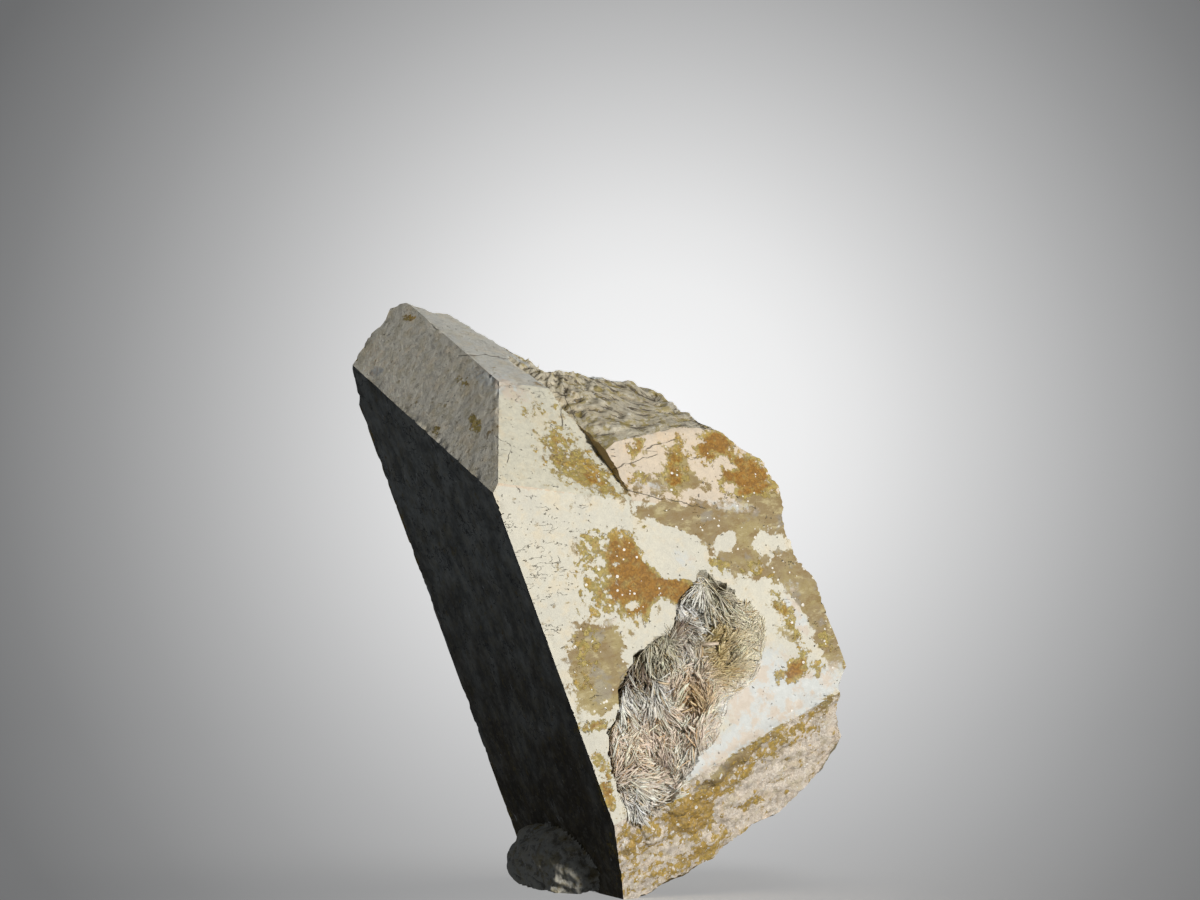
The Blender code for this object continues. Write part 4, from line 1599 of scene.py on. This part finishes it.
class Term:
    """Number or colour of a material, ready for arithmetic.

    Args:
        graph: Graph that it belongs to.
        socket: Output that gives it.
    """

    def __init__(self, graph: "Graph", socket: bpy.types.NodeSocket) -> None:
        """Keep the graph and the socket."""
        self.graph, self.socket = graph, socket

    __add__, __radd__ = infix("ADD"), infix("ADD", True)
    __sub__, __rsub__ = infix("SUBTRACT"), infix("SUBTRACT", True)
    __mul__, __rmul__ = infix("MULTIPLY"), infix("MULTIPLY", True)
    __truediv__ = infix("DIVIDE")

    def __abs__(self) -> "Term":
        """Its size without its sign."""
        return self.graph.math("ABSOLUTE", self)

    def clamped(self) -> "Term":
        """The same sum, held between 0 and 1."""
        self.socket.node.use_clamp = True
        return self

    def step(self, low: float, high: float, to_low: float = 0.0,
             to_high: float = 1.0) -> "Term":
        """Smooth step from one range to another."""
        inputs = dict(enumerate((self, low, high, to_low, to_high)))
        return self.graph.make("MapRange", inputs,
                               interpolation_type="SMOOTHSTEP")

    def toward(self, other: object, share: object) -> "Term":
        """This colour with a share of another mixed in."""
        return self.graph.mix(share, self, other)

    def times(self, other: object) -> "Term":
        """This colour times another."""
        return self.graph.mix(1.0, self, other, "MULTIPLY")

    def parts(self, kind: str = "XYZ") -> list["Term"]:
        """Its three parts, as XYZ or as Color."""
        made = self.graph.node("Separate" + kind)
        self.graph.link(self, made.inputs[0])
        return [Term(self.graph, out) for out in made.outputs]


class Graph:
    """Short way to write a material's nodes.

    Args:
        name: Name of the material.
    """

    def __init__(self, name: str) -> None:
        """Start with an empty tree and one principled shader."""
        self.made = bpy.data.materials.new(name)
        self.made.use_nodes = True
        self.tree = self.made.node_tree
        self.tree.nodes.clear()
        self.shader = self.node("BsdfPrincipled")
        end = self.node("OutputMaterial")
        self.tree.links.new(self.shader.outputs[0], end.inputs[0])
        self.place = Term(self, self.node("TexCoord").outputs["Object"])

    def node(self, kind: str, **settings: object) -> bpy.types.Node:
        """Add a node and set its own properties."""
        made = self.tree.nodes.new("ShaderNode" + kind)
        for key, value in settings.items():
            setattr(made, key, value)
        return made

    def link(self, source: object, target: bpy.types.NodeSocket) -> None:
        """Join a term to an input, or set the input to a plain value."""
        if isinstance(source, Term):
            self.tree.links.new(source.socket, target)
        elif target.type == "RGBA":
            target.default_value = (*source, 1.0)
        else:
            target.default_value = source

    def make(self, kind: str, inputs: dict, out: str | int = 0,
             **settings: object) -> Term:
        """Add a node, fill its inputs and give one of its outputs."""
        made = self.node(kind, **settings)
        for key, source in inputs.items():
            self.link(source, made.inputs[key])
        return Term(self, made.outputs[out])

    def shade(self, **inputs: object) -> None:
        """Fill the shader's inputs, with _ for a space in their names."""
        for key, source in inputs.items():
            self.link(source, self.shader.inputs[key.replace("_", " ")])

    def math(self, kind: str, *inputs: object) -> Term:
        """Arithmetic on numbers."""
        return self.make("Math", dict(enumerate(inputs)), operation=kind)

    def mix(self, share: object, first: object, second: object,
            kind: str = "MIX") -> Term:
        """Mix of two colours."""
        return self.make("Mix", {0: share, 6: first, 7: second}, 2,
                         data_type="RGBA", blend_type=kind)

    def scaled(self, scale: Triple, turn: Triple = (0, 0, 0)) -> Term:
        """Object place, turned in degrees and then stretched."""
        turned = self.make("Mapping", {
            0: self.place, "Rotation": [math.radians(t) for t in turn]})
        return self.make("Mapping", {0: turned, "Scale": scale})

    def noise(self, size: float, detail: float = 4.0, rough: float = 0.55,
              place: Term | None = None, warp: float = 0.0) -> Term:
        """Layered noise whose largest marks are about size millimetres."""
        return self.make("TexNoise", {
            "Vector": place or self.place, "Scale": 1 / (size * MM),
            "Detail": detail, "Roughness": rough, "Distortion": warp})

    def lines(self, *noise: object) -> Term:
        """Distance of a noise from its middle: 0 along winding lines."""
        return abs(self.noise(*noise) - 0.5)

    def cells(self, size: float) -> tuple[Term, list[Term]]:
        """Cells about size millimetres wide.

        Returns:
            Distance from a cell's seed, and the cell's random numbers.
        """
        made = self.node("TexVoronoi")
        self.link(self.place, made.inputs["Vector"])
        self.link(1 / (size * MM), made.inputs["Scale"])
        return (Term(self, made.outputs["Distance"]),
                Term(self, made.outputs["Color"]).parts("Color"))

    def stored(self, name: str) -> tuple[Term, Term]:
        """A stored colour and its fourth number."""
        made = self.node("Attribute", attribute_name=name)
        return Term(self, made.outputs["Color"]), Term(
            self, made.outputs["Alpha"])

    def marks(self, name: str) -> list[Term]:
        """The four numbers of a stored colour."""
        colour, last = self.stored(name)
        return [*colour.parts("Color"), last]

    def grey(self, value: Term) -> Term:
        """A number as a grey colour."""
        return self.make("CombineColor", dict.fromkeys(range(3), value))

    def bump(self, height: Term, rise: float) -> Term:
        """Bump whose height runs to rise millimetres."""
        return self.make("Bump", {"Strength": 1.0, "Distance": rise * MM,
                                  "Height": height})


@dataclass(frozen=True)
class FeldsparFinish:
    """Weathered cream feldspar with iron stain, glaze, pits and glints.

    Its glints and the highlight on its crests are painted, as is the
    shade in its grooves, between the band's grains, on its dark face and
    on the hollow's wall.

    Attributes:
        ochre_deep: Thick iron stain.
        ochre_light: Thin iron stain.
        mustard: Thin stain where it is greener.
        straw: Thin stain where it is paler.
        glaze: Grey-olive clear feldspar.
        glaze_warm: The same where it is browner.
        glaze_pale: Its paler clouds.
        glaze_deep: Its darker clouds.
        glaze_ash: Its ashen places.
        milky: Milky skin.
        peach: The same where it is warmer.
        groove_shade_and_pits: Painted shade in grooves, and the dark of pits
            and fissures.
        crest: Painted highlight on crests where it is broken.
        vein: Fine veins in the band.
        seam: Painted shade between the band's grains.
        shade: Painted shade on the hollow's wall.
        split: Splits in the dark face.
        scratch: Scratches in the dark face.
        glint: Small white dots: painted glints, partly white grains.
        ashen: Cool mottling, as a factor.
        warm: Warm mottling, as a factor.
        foot_shade: Painted shade on the dark face near its foot, as a factor.
        relief: Depth of the finest relief, in millimetres.
    """

    ochre_deep: Triple = (0.32, 0.15, 0.015)
    ochre_light: Triple = (0.48, 0.31, 0.06)
    mustard: Triple = (0.43, 0.335, 0.10)
    straw: Triple = (0.64, 0.55, 0.35)
    glaze: Triple = (0.38, 0.29, 0.105)
    glaze_warm: Triple = (0.29, 0.20, 0.075)
    glaze_pale: Triple = (0.52, 0.43, 0.21)
    glaze_deep: Triple = (0.26, 0.16, 0.04)
    glaze_ash: Triple = (0.29, 0.27, 0.24)
    milky: Triple = (0.64, 0.66, 0.64)
    peach: Triple = (0.66, 0.54, 0.42)
    groove_shade_and_pits: Triple = (0.13, 0.105, 0.07)
    crest: Triple = (0.78, 0.72, 0.57)
    vein: Triple = (0.36, 0.26, 0.18)
    seam: Triple = (0.40, 0.31, 0.19)
    shade: Triple = (0.36, 0.29, 0.19)
    split: Triple = (0.06, 0.06, 0.06)
    scratch: Triple = (0.78, 0.78, 0.74)
    glint: Triple = (0.90, 0.87, 0.80)
    ashen: Triple = (0.84, 0.86, 0.90)
    warm: Triple = (1.04, 0.97, 0.88)
    foot_shade: Triple = (0.24, 0.18, 0.11)
    relief: float = 0.17

    def material(self) -> bpy.types.Material:
        """Nodes of the finish.

        The ground's tone is varied by noise at three sizes, with painted
        shade in its grooves and painted highlight on its crests; each mark
        is its stored weight plus ragged noise, cut at a threshold; dashes and
        pits are thin or high parts of noise; painted glints are small white
        cells on the stain, the glaze and the grit; the band's grain gaps, the
        dark face and the hollow's wall get painted shade.
        """
        g = Graph("cream_feldspar")
        stain, olive, milk, wall = g.marks("marks")
        grit, knob, dark, _ = g.marks("grit")
        off, near, cavity, strand = g.marks("cuts")
        plain, band = g.stored("ground")
        bead, lot = g.cells(0.78)
        fine = g.noise(0.8, 6, 0.68)
        grain = g.noise(0.24, 3, 0.6)
        broad = g.noise(7.0, 4, 0.6)
        colour = self.ground(g, plain, fine, grain, broad, dark)
        flat = g.scaled((0.2, 0.6, 1.0)).parts()
        leaves = g.make("CombineXYZ", {0: flat[0], 1: flat[1],
                                       2: strand * (2.1 * MM)})
        layers = g.noise(1.0, 7, 0.72, leaves, 0.5)
        torn = (grit.step(0.85, 0.95) - knob).clamped()
        veins = g.mix(torn, g.grey(g.noise(1.1, 7, 0.72)), g.grey(layers))
        colour = self.broken(g, colour, grit, cavity, veins, band)
        colour, glazed = self.glazes(g, colour, olive, milk, fine, broad)
        colour, stained, crumbs = self.stains(g, colour, stain, band, lot[0])
        grainy = g.noise(4.5, 4, 0.6).step(0.48, 0.58, 0.1, 0.9)
        grainy = (grainy + stained * 0.5).clamped() * band
        # Painted shade between the band's grains.
        colour = colour.toward(self.seam,
                               bead.step(0.46, 0.76, 0.0, 0.42) * grainy)
        colour, holes = self.pits(g, colour, dark, stained, grit)
        colour = self.scratches(g, colour, dark)
        line = abs(off).step(0.03, 0.09, 0.8, 0.0) * near
        line = line * g.noise(1.8, 3).step(0.36, 0.52, 0.25, 1.0)
        colour = colour.toward(self.groove_shade_and_pits, line)
        # Painted glints: small white dots, partly white grains.
        colour, shine = self.glints(g, colour, stained, glazed, grit, band)
        # Painted shade on the hollow's wall, deeper where the wall is deeper.
        colour = colour.toward(self.shade, wall.step(0.35, 1.8, 0.0, 0.75))
        rough = fine.step(0.3, 0.7, 0.56, 0.74) + stained * 0.14
        rough = rough - milk.step(0.3, 0.9, 0.0, 0.15)
        rough = (rough - shine * 0.42).clamped()
        relief = fine * (0.24 + grit * 1.3) + grain * 0.3 + crumbs * 0.5
        relief = relief + veins * (grit * 1.0 + torn * 1.6)
        relief = relief - grainy * (bead * 1.2)
        relief = relief - g.math("MAXIMUM", holes, line)
        g.shade(Base_Color=colour, Roughness=rough, IOR=1.52,
                Normal=g.bump(relief, self.relief))
        return g.made

    def ground(self, g: Graph, plain: Term, fine: Term, grain: Term,
               broad: Term, dark: Term) -> Term:
        """Plain colour with mottling, and the dark face's painted shade."""
        colour = plain.toward(plain.times(self.ashen),
                              broad.step(0.42, 0.68, 0.0, 0.45))
        colour = colour.toward(plain.times(self.warm), g.noise(
            2.6, 5, 0.65).step(0.48, 0.66, 0.0, 0.8))
        tone = fine.step(0.28, 0.72, 0.90, 1.07) + grain.step(
            0.2, 0.8, -0.06, 0.06)
        colour = colour.times(g.grey(tone))
        # Painted shade on the dark face, deepest towards its foot.
        deep = g.place.parts()[2] + broad.step(0.3, 0.7, -0.012, 0.012)
        low = colour.times(self.foot_shade).toward(colour,
                                              deep.step(0.004, 0.062))
        blotch = g.noise(3.4, 6, 0.66).step(0.34, 0.66, 0.62, 1.42)
        return colour.toward(low.times(g.grey(blotch)), dark)

    def broken(self, g: Graph, colour: Term, grit: Term, cavity: Term,
               veins: Term, band: Term) -> Term:
        """Painted shade in the grooves and painted highlight on the crests."""
        # Low places of the mesh and of the veins' relief get painted shade,
        # high ones painted highlight.
        low = cavity * 0.8 + veins.step(0.30, 0.70, -0.75, 0.75)
        most = grit * (1.0 - band * 0.45)
        colour = colour.toward(self.groove_shade_and_pits,
                               low.step(-0.10, -0.52, 0.0, 0.92) * most)
        colour = colour.toward(self.crest,
                               low.step(0.10, 0.60, 0.0, 0.9) * most)
        rust = g.noise(2.0, 5, 0.68).step(0.51, 0.60, 0.0, 0.75)
        colour = colour.toward(self.mustard, rust * most)
        vein = g.lines(1.0, 6, 0.72).step(0.005, 0.04, 0.45, 0.0)
        return colour.toward(self.vein, vein * band)

    def glazes(self, g: Graph, colour: Term, olive: Term, milk: Term,
               fine: Term, broad: Term) -> tuple[Term, Term]:
        """Clear grey-olive places and the milky skin.

        Returns:
            The colour, and where the glaze lies.
        """
        weight = olive + g.noise(1.9, 6, 0.66).step(0.28, 0.72, -0.6, 0.6)
        share = weight.step(0.38, 0.64, 0.0, 0.95)
        tone = g.mix(broad.step(0.42, 0.56), self.glaze, self.glaze_warm)
        cloud = g.noise(2.4, 7, 0.72, g.scaled((0.42, 1, 1.3), (0, 8, 0)))
        ash = g.noise(3.0, 4, 0.6)
        for other, part in ((self.glaze_pale, cloud.step(0.52, 0.63, 0, 0.9)),
                            (self.glaze_deep, cloud.step(0.49, 0.39, 0, 0.9)),
                            (self.glaze_ash, ash.step(0.56, 0.66, 0, 0.5))):
            tone = tone.toward(other, part)
        colour = colour.toward(tone, share)
        weight = milk + fine.step(0.2, 0.8, -0.3, 0.3)
        skin = g.mix(g.noise(3.0, 6, 0.66).step(0.46, 0.58, 0.0, 0.85),
                     self.milky, self.peach)
        return colour.toward(skin, weight.step(0.3, 0.8, 0.0, 0.9)), share

    def stains(self, g: Graph, colour: Term, stain: Term, band: Term,
               bead: Term) -> tuple[Term, Term, Term]:
        """Iron stain: dotted where thin, deep and grainy inside.

        Returns:
            The colour, where the stain lies, and its crumbs.
        """
        torn = (g.noise(2.4, 9, 0.74, warp=0.3).step(0.30, 0.70, -0.42, 0.42)
                + g.noise(1.3, 5, 0.66).step(0.34, 0.66, -0.42, 0.42))
        weight = stain + torn * stain.step(-0.05, 0.30, 0.5, 1.0)
        weight = weight + band * (bead - 0.5)
        share = weight.step(0.42, 0.66, 0.0, 0.97)
        _, lot = g.cells(0.34)
        fleck = g.noise(1.1, 5, 0.7).step(0.34, 0.66, -0.55, 0.55)
        core = (stain + weight * 0.15).step(0.70, 1.25)
        deep = (core + fleck).clamped() * (1.0 - band * 0.65)
        green = g.noise(3.0, 3).step(0.34, 0.50) * (1.0 - band * 0.8)
        thin = g.mix(green, self.ochre_light, self.mustard)
        pale = g.noise(0.55, 3, 0.6).step(0.53, 0.66, 0.0, 0.7)
        tone = thin.toward(self.straw, pale).toward(self.ochre_deep, deep)
        tone = tone.times(g.grey(lot[0].step(0.0, 1.0, 0.80, 1.22)))
        return colour.toward(tone, share), share, lot[1] * share

    def pits(self, g: Graph, colour: Term, dark: Term, stained: Term,
             grit: Term) -> tuple[Term, Term]:
        """Short dark dashes and ragged pits, fewer where it is stained.

        Returns:
            The colour, and where the dashes and pits lie.
        """
        across, _, high = g.place.parts()
        lay = g.scaled((0.20, 1.0, 1.0), (0, 5, 0))
        dash = g.lines(0.85, 3, 0.5, lay).step(0.004, 0.012, 1.0, 0.0)
        left = (across.step(0.006, -0.010) * high.step(0.018, 0.058)
                * high.step(0.0605, 0.0625, 1.0, 0.25))
        area = g.noise(1.3, 2, 0.5, lay) + left * 0.13
        smooth = 1.0 - g.math("MAXIMUM", stained, grit)
        dash = dash * area.step(0.655, 0.68) * smooth
        area = g.noise(5.0, 3).step(0.46, 0.58)
        hole = g.noise(0.62, 2, 0.5).step(0.685, 0.71) * area * smooth
        holes = g.math("MAXIMUM", dash, hole) * (1.0 - dark * 0.6)
        return colour.toward(self.groove_shade_and_pits, holes * 0.82), holes

    def scratches(self, g: Graph, colour: Term, dark: Term) -> Term:
        """Hair-thin scratches and dark splits in the dark face."""
        lay = g.scaled((1.0, 1.0, 0.22), (0, 18, 0))
        line = g.lines(2.6, 2, 0.4, lay).step(0.002, 0.010, 0.8, 0.0)
        high = g.place.parts()[2]
        some = g.noise(3.6, 3, 0.6) + high.step(0.02, 0.08, -0.05, 0.03)
        line = line * dark * some.step(0.54, 0.60)
        split = g.lines(6.0, 5, 0.6, g.scaled((1.0, 1.0, 1.6)))
        split = split.step(0.003, 0.012, 0.9, 0.0) * (
            dark * some.step(0.42, 0.52))
        return colour.toward(self.split, split).toward(self.scratch, line)

    def glints(self, g: Graph, colour: Term, stained: Term, glazed: Term,
               grit: Term, band: Term) -> tuple[Term, Term]:
        """Painted white glints and grains on stain, glaze, grit; tiny on band.

        Returns:
            The colour, and where the glints and grains lie.
        """
        far, lot = g.cells(0.92)
        size = g.math("POWER", lot[1], 2.5) * 0.20
        dot = g.math("LESS_THAN", far, size + 0.10)
        where = stained * 0.9 + grit.step(0.4, 0.9, 0.0, 0.6) + band * 0.35
        where = (where + glazed * 0.7).clamped()
        share = dot * lot[0].step(0.48, 0.50) * where
        far, lot = g.cells(0.5)
        tiny = g.math("LESS_THAN", far, 0.22) * band
        tiny = tiny * lot[0].step(0.72, 0.74, 0.0, 0.85)
        share = g.math("MAXIMUM", share, tiny)
        return colour.toward(self.glint, share), share


@dataclass(frozen=True)
class BladeFinish:
    """Glossy small blades, each with its own tone and streaks.

    Attributes:
        dust: Ochre dust.
        roughness: Of the blades' faces.
        relief: Depth of the finest relief, in millimetres.
    """

    dust: Triple = (0.46, 0.33, 0.15)
    roughness: float = 0.34
    relief: float = 0.03

    def material(self) -> bpy.types.Material:
        """Nodes: the stored tone, streaked along and dusted with ochre."""
        g = Graph("bladed_crust")
        plain, lane = g.stored("tint")
        streak = g.make("TexNoise", {"W": lane, "Scale": 7.0, "Detail": 3.0,
                                     "Roughness": 0.7},
                        noise_dimensions="1D")
        dust = g.noise(1.1, 5, 0.65).step(0.54, 0.68, 0.0, 0.45)
        fine = g.noise(0.22, 3, 0.6)
        shade = fine.step(0.25, 0.75, -0.10, 0.10) + streak.step(
            0.3, 0.7, 0.90, 1.10)
        g.shade(Base_Color=plain.toward(self.dust, dust).times(g.grey(shade)),
                Roughness=fine.step(0.3, 0.7, self.roughness - 0.1,
                                    self.roughness + 0.15),
                IOR=1.54, Normal=g.bump(fine * 0.4 + streak, self.relief))
        return g.made


# ---------------------------------------------------------------- studio
@dataclass(frozen=True)
class Lamp:
    """Square light that faces the crystal.

    Attributes:
        name: Name of the light.
        way: Direction from the crystal to the light.
        power: Power in watts.
        size: Width in metres.
        group: Name of the group of objects that it lights.
        colour: Its colour.
    """

    name: str
    way: Triple
    power: float
    size: float
    group: str = "lit_pieces"
    colour: Triple = (1.0, 1.0, 1.0)


@dataclass(frozen=True)
class Studio:
    """Camera, lights and the swept backdrop.

    Attributes:
        eye: Camera's place, in metres.
        lens: Focal length for a 36 mm wide sensor.
        lamps: Main light, light from behind and light on the floor.
        ambient: Colour of the light from all round.
        aim: Place that the lamps face, in metres.
        lamp_distance: From each lamp to that place, in metres.
        glow_middle: Middle of the paper's glow, across and up.
        glow_reach: Where the glow ends.
        glow: Its brightness, as share of the reach and grey.
    """

    eye: Triple = (0.000777, -0.627691, 0.06828)
    lens: float = 120.0
    lamps: tuple[Lamp, ...] = (
        Lamp("key", (0.62, -0.76, 0.20), 7.8, 0.12,
             colour=(1.0, 0.985, 0.95)),
        Lamp("back_fill", (0.35, 0.85, 0.35), 3.2, 0.7),
        Lamp("floor_soft", (0.15, -0.1, 1.0), 1.5, 0.8, "paper"))
    ambient: Triple = (0.050, 0.054, 0.060)
    aim: Triple = (0.0, 0.0, 0.05)
    lamp_distance: float = 0.9
    glow_middle: tuple[float, float] = (0.0125, 0.005)
    glow_reach: float = 0.22
    glow: tuple[tuple[float, float], ...] = (
        (0.0, 0.87), (0.17, 0.78), (0.24, 0.708), (0.335, 0.578),
        (0.43, 0.456), (0.52, 0.35), (0.62, 0.25), (0.74, 0.155),
        (0.86, 0.09), (1.0, 0.07))

    def camera(self) -> None:
        """Level camera that looks along +Y."""
        data = bpy.data.cameras.new("camera")
        data.lens, data.sensor_width = self.lens, 36.0
        data.clip_start, data.clip_end = 0.01, 20.0
        camera = bpy.data.objects.new("camera", data)
        camera.location = self.eye
        camera.rotation_euler = (math.radians(90), 0, 0)
        bpy.context.scene.collection.objects.link(camera)
        bpy.context.scene.camera = camera

    def light_up(self, name: str, members: list[bpy.types.Object]) -> None:
        """Group objects and set the lamps that are meant for them.

        Args:
            name: Name of the group.
            members: Objects in it.
        """
        group = bpy.data.collections.new(name)
        for member in members:
            group.objects.link(member)
        for row in self.lamps:
            if row.group == name:
                data = bpy.data.lights.new(row.name, "AREA")
                data.energy, data.size = row.power, row.size
                data.color = row.colour
                lamp = bpy.data.objects.new(row.name, data)
                away = Vector(row.way).normalized()
                lamp.location = Vector(self.aim) + away * self.lamp_distance
                lamp.rotation_euler = away.to_track_quat("Z", "Y").to_euler()
                lamp.visible_camera = False
                bpy.context.scene.collection.objects.link(lamp)
                lamp.light_linking.receiver_collection = group

    def backdrop(self) -> bpy.types.Object:
        """Floor that sweeps up behind the crystal.

        Formula: a profile, flat, then a quarter turn, then upright,
        carried straight from side to side.
        """
        bend, start, radius = 24, 0.35, 0.55
        turn = np.linspace(0, math.pi / 2, bend)
        y = np.concatenate([[-6.0, -0.4], start + radius * np.sin(turn),
                            [start + radius]])
        z = np.concatenate([[0, 0], radius * (1 - np.cos(turn)), [4.0]])
        x = np.linspace(-6.0, 6.0, 5)
        grid = np.stack([np.repeat(x, len(y)), np.tile(y, 5),
                         np.tile(z, 5)], axis=1)
        index = np.arange(len(grid)).reshape(5, len(y))
        faces = np.stack([index[:-1, :-1], index[1:, :-1], index[1:, 1:],
                          index[:-1, 1:]], axis=2).reshape(-1, 4)
        mesh = bpy.data.meshes.new("backdrop")
        mesh.from_pydata(grid.tolist(), [], faces.tolist())
        mesh.shade_smooth()
        sweep = bpy.data.objects.new("backdrop", mesh)
        bpy.context.scene.collection.objects.link(sweep)
        sweep.visible_diffuse = sweep.visible_glossy = False
        mesh.materials.append(self.paper())
        return sweep

    def paper(self) -> bpy.types.Material:
        """Pale paper whose round glow behind the crystal is painted light.

        Formula: the glow's brightness falls with the angle from its
        middle, as distance across over distance ahead.
        """
        g = Graph("backdrop_paper")
        across, back, high = g.place.parts()
        ahead = g.math("MAXIMUM", back - self.eye[1], 0.6)
        side = (across - self.eye[0]) / ahead - self.glow_middle[0]
        high = (high - self.eye[2]) / ahead - self.glow_middle[1]
        far = g.math("SQRT", side * side + high * high)
        ramp = g.node("ValToRGB")
        g.link(far / self.glow_reach, ramp.inputs[0])
        while len(ramp.color_ramp.elements) < len(self.glow):
            ramp.color_ramp.elements.new(0.5)
        for element, (at, grey) in zip(ramp.color_ramp.elements, self.glow):
            element.position, element.color = at, (grey, grey, grey, 1)
        glow = g.mix(back.step(-0.03, -0.12), Term(g, ramp.outputs[0]),
                     (0.28, 0.28, 0.28))
        g.shade(Base_Color=(0.5, 0.5, 0.5), Roughness=1.0,
                Specular_IOR_Level=0.0, Emission_Color=glow,
                Emission_Strength=1.0)
        return g.made

    def build(self, pieces: list[bpy.types.Object]) -> None:
        """Set up the light round the finished pieces."""
        self.light_up("lit_pieces", pieces)
        self.light_up("paper", [self.backdrop()])
        world = bpy.data.worlds.new("studio")
        world.use_nodes = True
        light = world.node_tree.nodes["Background"]
        light.inputs[0].default_value = (*self.ambient, 1)
        light.inputs[1].default_value = 1.0
        bpy.context.scene.world = world
        bpy.context.scene.view_settings.view_transform = "Standard"


def main() -> None:
    """Load the frame, build each piece and set up the studio."""
    logging.basicConfig(level=logging.INFO, format="%(name)s: %(message)s")
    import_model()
    studio = Studio()
    studio.camera()
    crystal = Crystal()
    pieces = [crystal.build()]
    pieces += Crust(crystal.hollow).build()
    for piece in pieces:
        LOG.info("%s: %d faces", piece.name, len(piece.data.polygons))
    studio.build(pieces)


if __name__ == "__main__":
    main()
